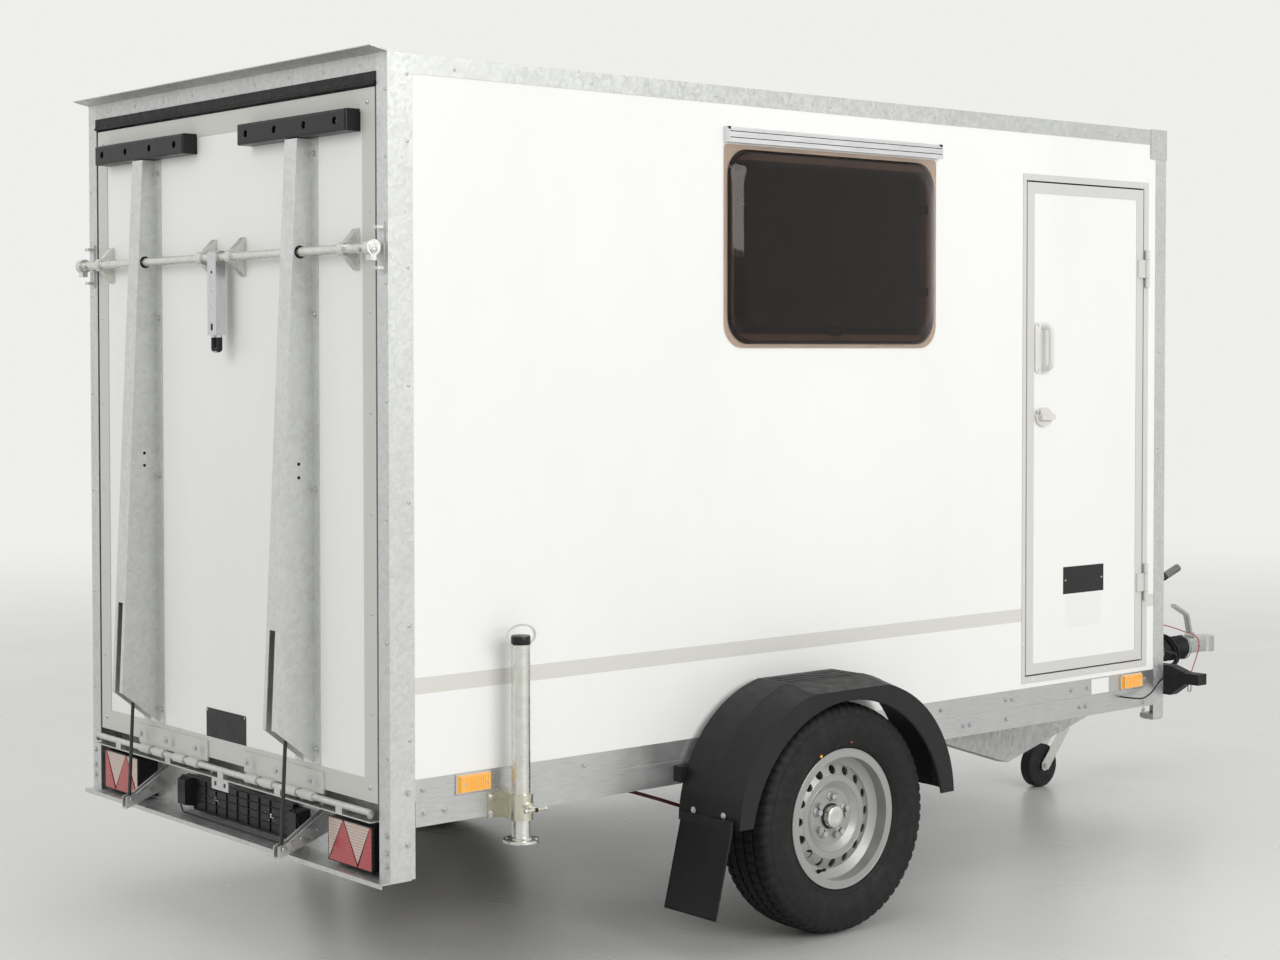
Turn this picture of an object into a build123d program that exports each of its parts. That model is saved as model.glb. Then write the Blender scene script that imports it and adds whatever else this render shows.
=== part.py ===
from build123d import *
import os
from math import hypot, radians, tan

os.makedirs("parts", exist_ok=True)

# Enclosed cargo trailer with a rear ramp, a side door and a side window.
# +X runs forward to the coupling, +Y to the left, +Z up from the ground; all lengths in mm.
# Heights are above the ground. "fore" lengths are measured forward from the body's rear face.

# Body
body_length = 3101.0
body_width = 1605.0
body_top = 2356.0
wall = 25.0
trim_sheet = 2.0
skin = body_width / 2 - trim_sheet
outer_side = body_width / 2
frame_bottom = 441.0
rail_step = 505.0
sill_top = 560.0
floor_sheet = 20.0
floor_fore = 45.0
roof_edge = body_top - 49.0
roof_leg = 50.0
roof_low = body_top - trim_sheet - wall
corner_cap = 83.0
corner_cap_tall = 96.0
curve_gap = 0.3

# Corner posts
post_depth = 74.0
post_face = 49.0
post_sheet = 3.0
post_inner = outer_side - post_face
rear_post_foot = 313.0
front_post_leg = 54.0
front_post_foot = 408.0
foot_cap = 20.0
foot_cap_edge = 6.0
header_foot = body_top - 75.0
drip_back = 50.0
drip_rise = 10.0
drip_sheet = 2.5
drip_seat = 30.0

# Chassis rails and cross members
rail_sheet = 3.0
rail_low_y = skin + 4.0
rail_flange = 40.0
beam_width = 50.0
beam_fores = (post_depth, 560.0, 1060.0, 1700.0, 2110.0, 2620.0)

# Wheels and axle
axle_fore = 1357.0
tyre_radius = 323.5
tyre_half = 99.0
tyre_bulge_radius = 247.0
tyre_shoulder = 86.0
tyre_shoulder_radius = 311.0
bead_half = 74.5
bead_top_radius = 198.0
rim_plane = 220.0
rim_half = 81.0
rim_flange_radius = 195.0
rim_flange = 6.0
bead_radius = 177.0
well_radius = 152.0
well_half = 28.0
well_slope = 12.0
rim_sheet = 5.0
disc_face = 30.0
disc_sheet = 6.0
disc_flat_radius = 78.0
disc_crown = 12.0
disc_crown_in = 98.0
disc_crown_out = 118.0
hand_holes = 16
hand_hole_radius = 12.5
hand_hole_ring_radius = 131.0
stud_ring_radius = 56.0
stud_count = 5
stud_radius = 9.0
stud_out = 12.0
hub_cap_radius = 30.0
hub_cap_out = 22.0
drum_radius = 112.0
drum_in = 882.0
backplate_in = 874.0
backplate_sheet = 5.0
stub_radius = 17.0
stub_end = 950.0
stub_gap = 3.0
pin_fit = 0.08
axle_lead = 150.0
axle_height = 392.0
axle_tube = 70.0
axle_corner = 9.0
axle_seat = 120.0
axle_seat_wide = 40.0
arm_in = 806.0
arm_sheet = 24.0
arm_end = 34.0
arm_boss = 50.0

# Fenders
fender_in = 830.0
fender_ridge = 125.0
fender_width = 225.0
fender_top = 708.0
fender_flat = 145.0
fender_hip = (320.0, 617.0)
hip_share = 0.7
fender_heel = 440.0
fender_foot = 352.0
fender_drop = 20.0
fender_sheet = 4.0
arch_height = 661.0
arch_half = 372.0
flap_inset = 10.0
flap_width = 205.0
flap_foot = 122.0
flap_sheet = 6.0
flap_lap = 3.0
flap_lap_tall = 26.0
flap_lean = 58.0
stay_reach = 412.0
stay_wide = 48.0
stay_low = 452.0
stay_high = 494.0

# Ramp, its hinge and its rails
hinge_back = 12.0
hinge_height = 478.0
hinge_pin_radius = 9.0
hinge_half = 735.0
hinge_block = 30.0
hinge_block_ys = (-600.0, -300.0, 0.0, 300.0, 600.0)
barrel_radius = 12.5
barrel_length = 60.0
barrel_ys = (-440.0, -360.0, -240.0, -160.0, 160.0, 240.0, 360.0, 440.0)
leaf_ys = (-300.0, 300.0)
leaf_length = 400.0
leaf_foot = 488.0
leaf_head = 545.0
leaf_sheet = 5.0
ramp_foot = 500.0
ramp_head = header_foot - 6.0
ramp_sheet = 30.0
ramp_skin = 2.0
buffer_foot = ramp_head - 105.0
channel_head = buffer_foot - 2.0
ramp_half = 745.0
ramp_edge = 22.0
ramp_trim = 58.0
ramp_seat = 1.0
channel_centre = 418.0
channel_width = 60.0
channel_head_depth = 40.0
channel_heel = 655.0
channel_heel_depth = 115.0
channel_foot = 560.0
channel_sheet = 3.0
channel_flange = 32.0
slot_width = 28.0
slot_head = 910.0
buffer_centre = 413.0
buffer_length = 530.0
buffer_tall = 56.0
buffer_depth = 45.0
buffer_round = 8.0
buffer_bolts = 4
buffer_bolt_pitch = 145.0
buffer_bolt_radius = 10.0
buffer_bolt_depth = 14.0

# Lock bar
bar_height = ramp_head - 397.0
bar_back = 33.0
bar_radius = 12.0
bar_hole = 17.0
bar_half = 792.0
grip_centre = -25.0
bracket_reach = 78.0
bracket_ys = (660.0, grip_centre + bracket_reach, grip_centre - bracket_reach, -660.0)
bracket_wide = 24.0
bracket_half_tall = 52.0
bracket_sheet = 5.0
bracket_hub = 19.0
cam_centre = 778.0
cam_radius = 20.0
cam_nose = 32.0
cam_nose_half = 8.0
cam_wide = 24.0
keeper_half_tall = 64.0
keeper_sheet = 4.0
keeper_rib = 46.0
keeper_rib_tall = 8.0
keeper_rib_out = 18.0
handle_foot = bar_height - 210.0
handle_head = bar_height + 14.0
handle_wide = 46.0
handle_back = 52.0
handle_front = 22.0
handle_sheet = 3.0
handle_hub = 18.0
grip_rod = 7.0
grip_foot = handle_foot - 41.0
grip_lap = 20.0
grip_half = 15.0
grip_bend = 11.0

# Gas springs
spring_head_back = 45.0
spring_head = 1035.0
spring_arm_back = 80.0
spring_arm_height = 345.0
spring_tube_radius = 9.0
spring_tube_length = 300.0
spring_tube_start = 7.5
spring_bore_start = 12.0
spring_rod_radius = 5.0
rod_bore = 5.4
rod_inside = 15.0
eye_radius = 10.0
eye_wide = 12.0
eye_pin_radius = 5.0
cheek_out = 13.0
cheek_sheet = 4.0
arm_web = 5.0
arm_web_drop = 26.0
arm_nose = 16.0
arm_root_low = 30.0
arm_root_high = 95.0

# Rear lamp panel
panel_fore = 62.0
panel_sheet = 3.0
panel_shelf = 458.0
shelf_back = 22.0
shelf_half = 745.0
lip_back = 28.0
lip_drop = 12.0
tongue_half = 45.0
tongue_drop = 33.0
tongue_hole = 12.0
tongue_hole_place = 25.0
tongue_hole_height = 441.0
lamp_centre = 621.0
lamp_wide = 214.0
lamp_foot = 320.0
lamp_tall = 122.0
lamp_deep = 61.0
lamp_taper = 7.0
lamp_round = 6.0
plate_half = 270.0
plate_foot = 321.0
plate_tall = 100.0
tray_deep = 17.0
tray_floor = 4.0
tray_rim = 6.0
plate_lamp_wide = 60.0
plate_lamp_deep = 40.0
plate_lamp_taper = 12.0

# Side door
door_fore = (2389.5, 2984.5)
door_high = (595.5, body_top - 196.5)
door_gap = 5.0
door_flange_fore = (2374.0, 3009.0)
door_flange_high = (574.0, body_top - 176.0)
door_lining = 3.0
leaf_edge = 34.0
door_pin_fore = 2991.0
door_pin_out = 11.0
door_barrel_radius = 8.0
door_pin_radius = 4.0
door_hinge_feet = (door_high[0] + 200.5, door_high[1] - 325.5)
door_hinge_tall = 122.0
knuckle = 30.0
knuckle_gap = 1.0
hinge_leaf = 3.0
hinge_leaf_wide = 30.0
hinge_relief = 2.0
strap_low = 4.0
strap_high = 9.0
pull_fore = 2466.0
pull_foot = body_top - 803.0
pull_head = pull_foot + 162.0
pull_wide = 72.0
pull_base = 6.0
pull_radius = 9.0
pull_out = 40.0
pull_bend = 16.0
lock_fore = 2472.0
lock_height = pull_foot - 138.0
lock_half_wide = 40.0
lock_half_tall = 30.0
lock_base = 10.0
lock_paddle_wide = 66.0
lock_paddle_tall = 18.0
lock_paddle_out = 18.0

# Side window
window_fore = (1107.0, 1971.0)
window_high = (body_top - 725.0, body_top - 158.0)
window_frame = 42.0
pane_bulge = 26.0
pane_sheet = 4.0
pane_corner = 60.0
pane_taper = 40.0
window_rail_fore = (1110.0, 1980.0)
window_rail_high = (window_high[1] + 3.0, window_high[1] + 47.0)
window_rail_out = 22.0
window_rail_round = 15.0

# Drawbar, coupling and jockey wheel
draw_rear = (2098.0, 700.0)
draw_front = (4050.0, 60.0)
draw_rear_low = 412.0
draw_apex = (2635.0, 257.0)
draw_front_low = 356.0
draw_step_fore = 3128.0
draw_front_high = 452.0
draw_sheet = 5.0
draw_flange = 40.0
draw_clear = 37.0
overrun_rear = 3700.0
overrun_front = 4120.0
overrun_radius = 32.0
overrun_plate = (3760.0, 4030.0)
overrun_plate_sheet = 10.0
overrun_ring_radius = 50.0
overrun_ring = 14.0
boot_front = 4300.0
boot_radius = 47.0
boot_valley = 36.0
boot_folds = 7
draw_tube_radius = 22.0
coupling_height = 445.0
coupling_nose = 4487.0
ball_fore = 4447.0
ball_radius = 25.0
head_radius = 40.0
head_wide = 62.0
head_round = 14.0
head_foot = coupling_height - 26.0
head_top = coupling_height + 35.0
ball_height = head_foot + 20.0
lever_foot = (4352.0, 486.0)
lever_tip = (4244.0, 614.0)
lever_knee = (4330.0, 572.0)
lever_bend = 34.0
lever_wide = 26.0
lever_thick = 14.0
lever_boss = 15.0
brake_pivot = (3850.0, 620.0)
brake_tip = (4272.0, 764.0)
brake_grip = 100.0
brake_grip_radius = 15.0
brake_rod_radius = 9.0
brake_cheek = 5.0
brake_cheek_gap = 33.0
brake_bracket = (3800.0, 3900.0)
jockey_fore = 3540.0
jockey_trail = 117.0
jockey_radius = 80.0
jockey_half = 22.5
jockey_round = 8.0
jockey_tube_radius = 25.0
jockey_bore = 21.3
jockey_leg_radius = 21.0
jockey_tube_foot = 330.0
jockey_tube_head = 720.0
jockey_tube_cap = 8.0
jockey_leg_foot = 215.0
jockey_leg_tall = 370.0
jockey_leg_bore = 10.0
jockey_leg_bore_deep = 14.0
jockey_swivel_gap = 2.0
fork_plate = 12.0
fork_plate_radius = 22.0
fork_cheek_gap = 28.0
fork_cheek = 4.0
fork_cheek_half = 18.0
fork_axle_radius = 8.0
jockey_plate_half = 40.0
jockey_plate_reach = 232.0
crank_rise = 16.0
crank_rod = 7.0
crank_reach = 95.0
crank_grip = 60.0
crank_grip_radius = 11.0

# Steadies, lamps and markers on the sides
steady_fore = 356.0
steady_out = 62.0
steady_radius = 24.0
steady_foot = 377.0
steady_head = 902.0
steady_disc = 47.0
steady_disc_tall = 7.0
steady_ring_wide = 96.0
steady_ring_tall = 60.0
steady_ring_rod = 2.5
clamp_foot = 434.0
clamp_head = 500.0
clamp_fore = (293.0, 410.0)
clamp_plate = 5.0
clamp_radius = 31.0
clamp_neck = 40.0
screw_radius = 6.0
screw_out = 34.0
screw_bar = 34.0
screw_bar_radius = 4.0
marker_fores = (250.0, 2924.0)
marker_length = 104.0
marker_foot = 508.0
marker_tall = 48.0
marker_deep = 14.0
marker_taper = 20.0
lamp_arm_fore = 40.0
lamp_arm_in = 755.0
lamp_arm_root = (471.0, 570.0)
lamp_arm_knee = 830.0
lamp_arm_out = 890.0
lamp_head_out = 945.0
lamp_arm_tip = (515.0, 551.0)
lamp_head_fore = 46.0

# Cords: routes are (fore, y, height) points; the brake cables and marker leads are mirrored
lead_radius = 4.0
lead_route = (
    (3103.3, 330.0, 473.0),
    (3152.0, 330.0, 470.0),
    (3225.0, 311.0, 459.0),
    (3305.0, 283.0, 458.0),
    (3395.0, 262.0, 458.5),
    (3480.0, 226.0, 468.5),
    (3570.0, 206.0, 469.0),
    (3660.0, 162.0, 463.0),
    (3745.0, 142.0, 468.5),
    (3835.0, 106.0, 469.0),
    (3930.0, 92.0, 468.5),
    (4020.0, 84.0, 468.5),
    (4100.0, 74.0, 457.0),
    (4140.0, 65.0, 446.0),
    (4171.6, 61.5, 437.3),
)
lead_tail = (
    (4171.6, -69.5, 437.3),
    (4128.0, -72.0, 446.0),
    (4062.0, -76.0, 466.0),
    (3986.0, -66.0, 482.5),
)
coil_centre = (4185.0, 440.3)
coil_lean = 15.0
coil_inside = 57.0
coil_outside = 74.0
coil_wide = 24.0
plug_gap = 1.2
plug_sleeve = 22.0
plug_sleeve_radius = 8.0
plug_body = 52.0
plug_radius = 18.0
plug_nose = 8.0
plug_nose_radius = 20.0
breakaway_radius = 2.0
breakaway_route = (
    (3900.3, -35.5, 560.0),
    (3945.0, -36.0, 562.0),
    (4015.0, -38.0, 566.0),
    (4095.0, -38.0, 558.0),
    (4170.0, -36.0, 541.0),
    (4240.0, -31.0, 522.0),
    (4292.0, -22.0, 507.0),
    (4326.0, -28.0, 500.0),
    (4338.0, -52.0, 482.0),
    (4314.0, -74.0, 454.0),
    (4286.0, -82.0, 418.0),
    (4264.0, -81.0, 378.0),
    (4250.0, -75.0, 338.0),
)
hook_tall = 60.0
hook_wide = 26.0
hook_rod = 5.0
brake_cable_radius = 5.0
brake_cable_route = (
    (1290.0, -873.6, 272.0),
    (1290.0, -825.0, 272.0),
    (1262.0, -785.0, 278.0),
    (1190.0, -748.0, 297.0),
    (1112.0, -722.0, 323.0),
    (1035.0, -703.0, 352.0),
    (950.0, -684.0, 384.0),
    (845.0, -656.0, 420.0),
    (745.0, -640.0, 450.0),
    (670.0, -622.0, 466.0),
    (610.4, -618.0, 470.0),
)
marker_lead_radius = 2.5
marker_lead_route = (
    (2868.0, -804.9, 486.0),
    (2868.0, -832.0, 486.0),
    (2890.0, -846.0, 483.0),
    (2935.0, -846.0, 477.0),
    (2995.0, -836.0, 490.0),
    (3050.0, -824.0, 521.0),
    (3099.6, -818.0, 536.0),
)
bend_share = 0.45

# Places worked out from the sizes above
overall_length = coupling_nose + channel_heel_depth
rear_x = -overall_length / 2 + channel_heel_depth
front_x = rear_x + body_length
wall_rear = rear_x + post_depth
wall_front_x = front_x - trim_sheet - wall
axle_x = rear_x + axle_fore
axle_tube_x = axle_x + axle_lead
tyre_centre = outer_side + rim_plane - rim_half
panel_x = rear_x + panel_fore
hinge_x = rear_x - hinge_back
bar_x = rear_x - bar_back
ramp_outer = rear_x + ramp_seat
ramp_face = ramp_outer + ramp_skin
door_x = (rear_x + door_fore[0], rear_x + door_fore[1])
door_skin = skin + trim_sheet
ball_x = rear_x + ball_fore
jockey_x = rear_x + jockey_fore
jockey_wheel_x = jockey_x - jockey_trail
steady_y = outer_side + steady_out


def along_x(x):
    # plane square to X at x, with its own axes along Y and Z
    return Plane(origin=(x, 0, 0), x_dir=(0, 1, 0), z_dir=(1, 0, 0))


def facing_rear(x):
    # plane square to X at x that faces the rear, with its own axes along -Y and Z
    return Plane(origin=(x, 0, 0), x_dir=(0, -1, 0), z_dir=(-1, 0, 0))


def along_y(y):
    # plane square to Y at y that faces the right side, with its own axes along X and Z
    return Plane(origin=(0, y, 0), x_dir=(1, 0, 0), z_dir=(0, -1, 0))


def rect_between(low, high, mode=Mode.ADD):
    # rectangle between two opposite corners
    with Locations(((low[0] + high[0]) / 2, (low[1] + high[1]) / 2)):
        Rectangle(high[0] - low[0], high[1] - low[1], mode=mode)


def outline(points, mode=Mode.ADD):
    # closed face through corner points
    Polygon(*points, align=None, mode=mode)


def from_fore(points):
    # (fore, y, height) points as places
    return [(rear_x + fore, y, height) for fore, y, height in points]


def bend_radii(points):
    # one arc radius for each corner, as large as the corner's shorter run has room for
    radii = []
    for before, corner, after in zip(points, points[1:], points[2:]):
        first = Vector(*corner) - Vector(*before)
        second = Vector(*after) - Vector(*corner)
        half_turn = radians(first.get_angle(second) / 2)
        radii.append(bend_share * min(first.length, second.length) / tan(half_turn))
    return radii


# Side rails: a C channel below and an upright strip above it that covers the wall's foot
rail_points = [
    (rail_low_y, frame_bottom),
    (rail_low_y, rail_step),
    (outer_side, rail_step),
    (outer_side, sill_top),
    (skin, sill_top),
    (skin, rail_step),
    (skin - rail_flange, rail_step),
    (skin - rail_flange, rail_step - rail_sheet),
    (rail_low_y - rail_sheet, rail_step - rail_sheet),
    (rail_low_y - rail_sheet, frame_bottom + rail_sheet),
    (skin - rail_flange, frame_bottom + rail_sheet),
    (skin - rail_flange, frame_bottom),
]
with BuildPart() as side_rails:
    with BuildSketch(along_x(wall_rear)):
        outline([(-y, z) for y, z in rail_points])
    extrude(amount=body_length - post_depth - front_post_leg)
    mirror(about=Plane.XZ)
side_rails.part.label = "side_rails"
export_step(side_rails.part, "parts/side_rails.step")

# Cross members: C beams between the rails, and a front rail between the front posts
beam_half = skin - rail_flange
front_rail_half = outer_side - front_post_leg
with BuildPart() as cross_members:
    for fore in beam_fores:
        with BuildSketch(along_y(beam_half)):
            rect_between((rear_x + fore, frame_bottom), (rear_x + fore + beam_width, rail_step))
            rect_between(
                (rear_x + fore + rail_sheet, frame_bottom + rail_sheet),
                (rear_x + fore + beam_width, rail_step - rail_sheet),
                Mode.SUBTRACT,
            )
        extrude(amount=2 * beam_half)
    with BuildSketch(along_y(front_rail_half)):
        outline([(front_x + y - outer_side, z) for y, z in rail_points])
    extrude(amount=2 * front_rail_half)
cross_members.part.label = "cross_members"
export_step(cross_members.part, "parts/cross_members.step")

# Floor: one sheet on the rails' flanges, narrowed between the rear posts
with BuildPart() as floor_panel:
    with BuildSketch(Plane.XY.offset(rail_step)):
        rect_between((wall_rear, -(skin - wall)), (wall_front_x, skin - wall))
        rect_between((rear_x + floor_fore, -post_inner), (wall_rear, post_inner))
    extrude(amount=floor_sheet)
floor_panel.part.label = "floor_panel"
export_step(floor_panel.part, "parts/floor_panel.step")

# Walls and roof: one sandwich sheet each, with the door and the window cut in the right wall
with BuildPart() as wall_right:
    with BuildSketch(along_y(-(skin - wall))):
        rect_between((wall_rear, rail_step), (wall_front_x, roof_low))
        rect_between(
            (door_x[0] - door_lining, door_high[0] - door_lining),
            (door_x[1] + door_lining, door_high[1] + door_lining),
            Mode.SUBTRACT,
        )
        rect_between(
            (rear_x + window_fore[0] + window_frame, window_high[0] + window_frame),
            (rear_x + window_fore[1] - window_frame, window_high[1] - window_frame),
            Mode.SUBTRACT,
        )
    extrude(amount=wall)
wall_right.part.label = "wall_right"
export_step(wall_right.part, "parts/wall_right.step")

with BuildPart() as wall_left:
    with BuildSketch(along_y(skin)):
        rect_between((wall_rear, rail_step), (wall_front_x, roof_low))
    extrude(amount=wall)
wall_left.part.label = "wall_left"
export_step(wall_left.part, "parts/wall_left.step")

with BuildPart() as wall_front:
    with BuildSketch(along_x(wall_front_x)):
        rect_between((-skin, rail_step), (skin, roof_low))
    extrude(amount=wall)
wall_front.part.label = "wall_front"
export_step(wall_front.part, "parts/wall_front.step")

with BuildPart() as roof_panel:
    with BuildSketch(Plane.XY.offset(roof_low)):
        rect_between((wall_rear, -skin), (front_x - trim_sheet, skin))
    extrude(amount=wall)
roof_panel.part.label = "roof_panel"
export_step(roof_panel.part, "parts/roof_panel.step")

# Rear posts: folded channels open towards the middle, each with a keeper for the lock bar's cam
with BuildPart() as rear_posts:
    with BuildSketch(Plane.XY.offset(rear_post_foot)):
        rect_between((rear_x, -outer_side), (wall_rear, -post_inner))
        rect_between(
            (rear_x + post_sheet, -(outer_side - post_sheet)),
            (wall_rear - post_sheet, -post_inner),
            Mode.SUBTRACT,
        )
    extrude(amount=body_top - rear_post_foot)
    with BuildSketch(Plane.XY.offset(body_top - post_sheet)):
        rect_between((rear_x, -outer_side), (wall_rear, -post_inner))
    extrude(amount=post_sheet)
    with BuildSketch(facing_rear(rear_x)):
        with Locations((cam_centre, bar_height)):
            Rectangle(cam_wide, 2 * keeper_half_tall)
    extrude(amount=keeper_sheet)
    with BuildSketch(facing_rear(rear_x)):
        with Locations(
            (cam_centre, bar_height - keeper_rib - keeper_rib_tall / 2),
            (cam_centre, bar_height + keeper_rib + keeper_rib_tall / 2),
        ):
            Rectangle(cam_wide, keeper_rib_tall)
    extrude(amount=keeper_sheet + keeper_rib_out)
    mirror(about=Plane.XZ)
rear_posts.part.label = "rear_posts"
export_step(rear_posts.part, "parts/rear_posts.step")

# Front posts: angles around the front corners, each with a cap under its foot
with BuildPart() as front_posts:
    with BuildSketch(Plane.XY.offset(front_post_foot)):
        rect_between((front_x - front_post_leg, -outer_side), (front_x, -front_rail_half))
        rect_between(
            (front_x - front_post_leg, -skin), (front_x - trim_sheet, -front_rail_half), Mode.SUBTRACT
        )
    extrude(amount=body_top - front_post_foot)
    with BuildSketch(Plane.XY.offset(front_post_foot)):
        rect_between((front_x - front_post_leg, -outer_side), (front_x, -front_rail_half))
    extrude(amount=-foot_cap)
    chamfer(front_posts.faces().sort_by(Axis.Z)[0].edges(), length=foot_cap_edge)
    mirror(about=Plane.XZ)
front_posts.part.label = "front_posts"
export_step(front_posts.part, "parts/front_posts.step")

# Roof rails: angles along the roof's side and front edges, with a cap over each front corner
with BuildPart() as roof_rails:
    with BuildSketch(along_x(wall_rear)):
        rect_between((-outer_side, roof_edge), (-(outer_side - roof_leg), body_top))
        rect_between((-skin, roof_edge), (-(outer_side - roof_leg), body_top - trim_sheet), Mode.SUBTRACT)
    extrude(amount=body_length - post_depth - front_post_leg)
    with BuildSketch(Plane.XY.offset(body_top - corner_cap_tall)):
        rect_between(
            (front_x - corner_cap, -(outer_side + trim_sheet)),
            (front_x + trim_sheet, -(outer_side + trim_sheet - corner_cap)),
        )
    extrude(amount=corner_cap_tall + trim_sheet)
    with BuildSketch(Plane.XY.offset(body_top - corner_cap_tall)):
        rect_between(
            (front_x - corner_cap, -outer_side), (front_x, -(outer_side + trim_sheet - corner_cap))
        )
    extrude(amount=corner_cap_tall, mode=Mode.SUBTRACT)
    with BuildSketch(along_y(front_rail_half)):
        rect_between((front_x - roof_leg, roof_edge), (front_x, body_top))
        rect_between(
            (front_x - roof_leg, roof_edge), (front_x - trim_sheet, body_top - trim_sheet), Mode.SUBTRACT
        )
    extrude(amount=2 * front_rail_half)
    with BuildSketch(along_x(front_x - corner_cap)):
        rect_between((-outer_side, roof_edge), (-(outer_side - roof_leg), body_top))
        rect_between((-skin, roof_edge), (-(outer_side - roof_leg), body_top - trim_sheet), Mode.SUBTRACT)
    extrude(amount=corner_cap - front_post_leg)
    mirror(about=Plane.XZ)
roof_rails.part.label = "roof_rails"
export_step(roof_rails.part, "parts/roof_rails.step")

# Rear header: a folded channel over the ramp, with a drip lip that overhangs the ramp
with BuildPart() as rear_header:
    with BuildSketch(along_y(post_inner)):
        rect_between((rear_x, header_foot), (wall_rear, body_top))
        rect_between(
            (rear_x + post_sheet, header_foot),
            (wall_rear - post_sheet, body_top - post_sheet),
            Mode.SUBTRACT,
        )
    extrude(amount=2 * post_inner)
    with BuildSketch(along_y(outer_side)):
        outline(
            [
                (rear_x, body_top),
                (rear_x - drip_back, body_top + drip_rise),
                (rear_x - drip_back, body_top + drip_rise + drip_sheet),
                (rear_x + drip_seat, body_top + drip_sheet),
                (rear_x + drip_seat, body_top),
            ]
        )
    extrude(amount=2 * outer_side)
rear_header.part.label = "rear_header"
export_step(rear_header.part, "parts/rear_header.step")

# Rear lamp panel: a folded sheet with a hinge shelf, a web and a lip, and two gas spring arms
arm_root = (panel_x, spring_arm_height + arm_root_low)
arm_tip = (rear_x - spring_arm_back - arm_nose, spring_arm_height - arm_web_drop)
arm_side = [
    arm_root,
    (panel_x, spring_arm_height + arm_root_high),
    (rear_x - spring_arm_back + arm_nose, spring_arm_height + arm_nose),
    (rear_x - spring_arm_back - arm_nose, spring_arm_height + arm_nose / 2),
    arm_tip,
]
with BuildPart() as lamp_panel:
    with BuildSketch(along_y(outer_side - post_sheet)):
        outline(
            [
                (rear_x + post_sheet, panel_shelf),
                (panel_x + panel_sheet, panel_shelf),
                (panel_x + panel_sheet, rear_post_foot - panel_sheet),
                (panel_x, rear_post_foot - panel_sheet),
                (panel_x, panel_shelf - panel_sheet),
                (rear_x + post_sheet, panel_shelf - panel_sheet),
            ]
        )
    extrude(amount=2 * (outer_side - post_sheet))
    with BuildSketch(along_y(shelf_half)):
        rect_between((rear_x - shelf_back, panel_shelf - panel_sheet), (panel_x, panel_shelf))
    extrude(amount=2 * shelf_half)
    with BuildSketch(along_y(outer_side)):
        rect_between((rear_x - lip_back, rear_post_foot - panel_sheet), (panel_x, rear_post_foot))
        rect_between(
            (rear_x - lip_back, rear_post_foot - lip_drop),
            (rear_x - lip_back + panel_sheet, rear_post_foot),
        )
    extrude(amount=2 * outer_side)
    with BuildSketch(facing_rear(rear_x - shelf_back + panel_sheet)):
        rect_between((-tongue_half, panel_shelf - tongue_drop), (tongue_half, panel_shelf))
        with Locations((-tongue_hole_place, tongue_hole_height), (tongue_hole_place, tongue_hole_height)):
            Rectangle(tongue_hole, tongue_hole, mode=Mode.SUBTRACT)
    extrude(amount=panel_sheet)
    for arm_y in (-channel_centre, channel_centre):
        with BuildSketch(along_y(arm_y + cheek_out)):
            outline(arm_side)
            outline(
                [
                    (arm_root[0] - cheek_sheet, arm_root[1] + arm_web),
                    (panel_x - cheek_sheet, panel_shelf - panel_sheet),
                    (arm_tip[0] - arm_nose, panel_shelf - panel_sheet),
                    (arm_tip[0] - arm_nose, arm_tip[1]),
                    (arm_tip[0], arm_tip[1] + arm_web),
                ],
                Mode.SUBTRACT,
            )
        extrude(amount=2 * cheek_out)
        for cheek_y in (arm_y + cheek_out, arm_y - cheek_out + cheek_sheet):
            with BuildSketch(along_y(cheek_y)):
                outline(arm_side)
            extrude(amount=cheek_sheet)
lamp_panel.part.label = "lamp_panel"
export_step(lamp_panel.part, "parts/lamp_panel.step")

# Hinge tube: one pin across the rear, on five blocks that stand on the lamp panel's shelf
with BuildPart() as hinge_tube:
    with BuildSketch(along_y(hinge_half)):
        with Locations((hinge_x, hinge_height)):
            Circle(hinge_pin_radius)
    extrude(amount=2 * hinge_half)
    for block_y in hinge_block_ys:
        with BuildSketch(along_y(block_y + hinge_block / 2)):
            rect_between(
                (hinge_x - hinge_pin_radius, panel_shelf), (hinge_x + hinge_pin_radius, hinge_height)
            )
        extrude(amount=hinge_block)
hinge_tube.part.label = "hinge_tube"
export_step(hinge_tube.part, "parts/hinge_tube.step")

# Tail lamps: a housing with sloped flanks on the panel, its lens facing the rear
with BuildPart() as tail_lamps:
    with BuildSketch(facing_rear(panel_x)):
        with Locations((lamp_centre, lamp_foot + lamp_tall / 2)):
            Rectangle(lamp_wide, lamp_tall)
    extrude(amount=lamp_deep, taper=lamp_taper)
    fillet(tail_lamps.faces().sort_by(Axis.X)[0].edges(), radius=lamp_round)
    mirror(about=Plane.XZ)
tail_lamps.part.label = "tail_lamps"
export_step(tail_lamps.part, "parts/tail_lamps.step")

# Plate holder: a shallow tray for the plate, with a lamp box at each end of it
with BuildPart() as plate_holder:
    with BuildSketch(facing_rear(panel_x)):
        rect_between((-plate_half, plate_foot), (plate_half, plate_foot + plate_tall))
    extrude(amount=tray_deep)
    with BuildSketch(facing_rear(panel_x + tray_floor - tray_deep)):
        rect_between(
            (-(plate_half - tray_rim), plate_foot + tray_rim),
            (plate_half - tray_rim, plate_foot + plate_tall - tray_rim),
        )
    extrude(amount=tray_floor, mode=Mode.SUBTRACT)
    with BuildSketch(facing_rear(panel_x)):
        with Locations(
            (-(plate_half + plate_lamp_wide / 2), plate_foot + plate_tall / 2),
            (plate_half + plate_lamp_wide / 2, plate_foot + plate_tall / 2),
        ):
            Rectangle(plate_lamp_wide, plate_tall - 2 * tray_rim)
    extrude(amount=plate_lamp_deep, taper=plate_lamp_taper)
plate_holder.part.label = "plate_holder"
export_step(plate_holder.part, "parts/plate_holder.step")

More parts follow.
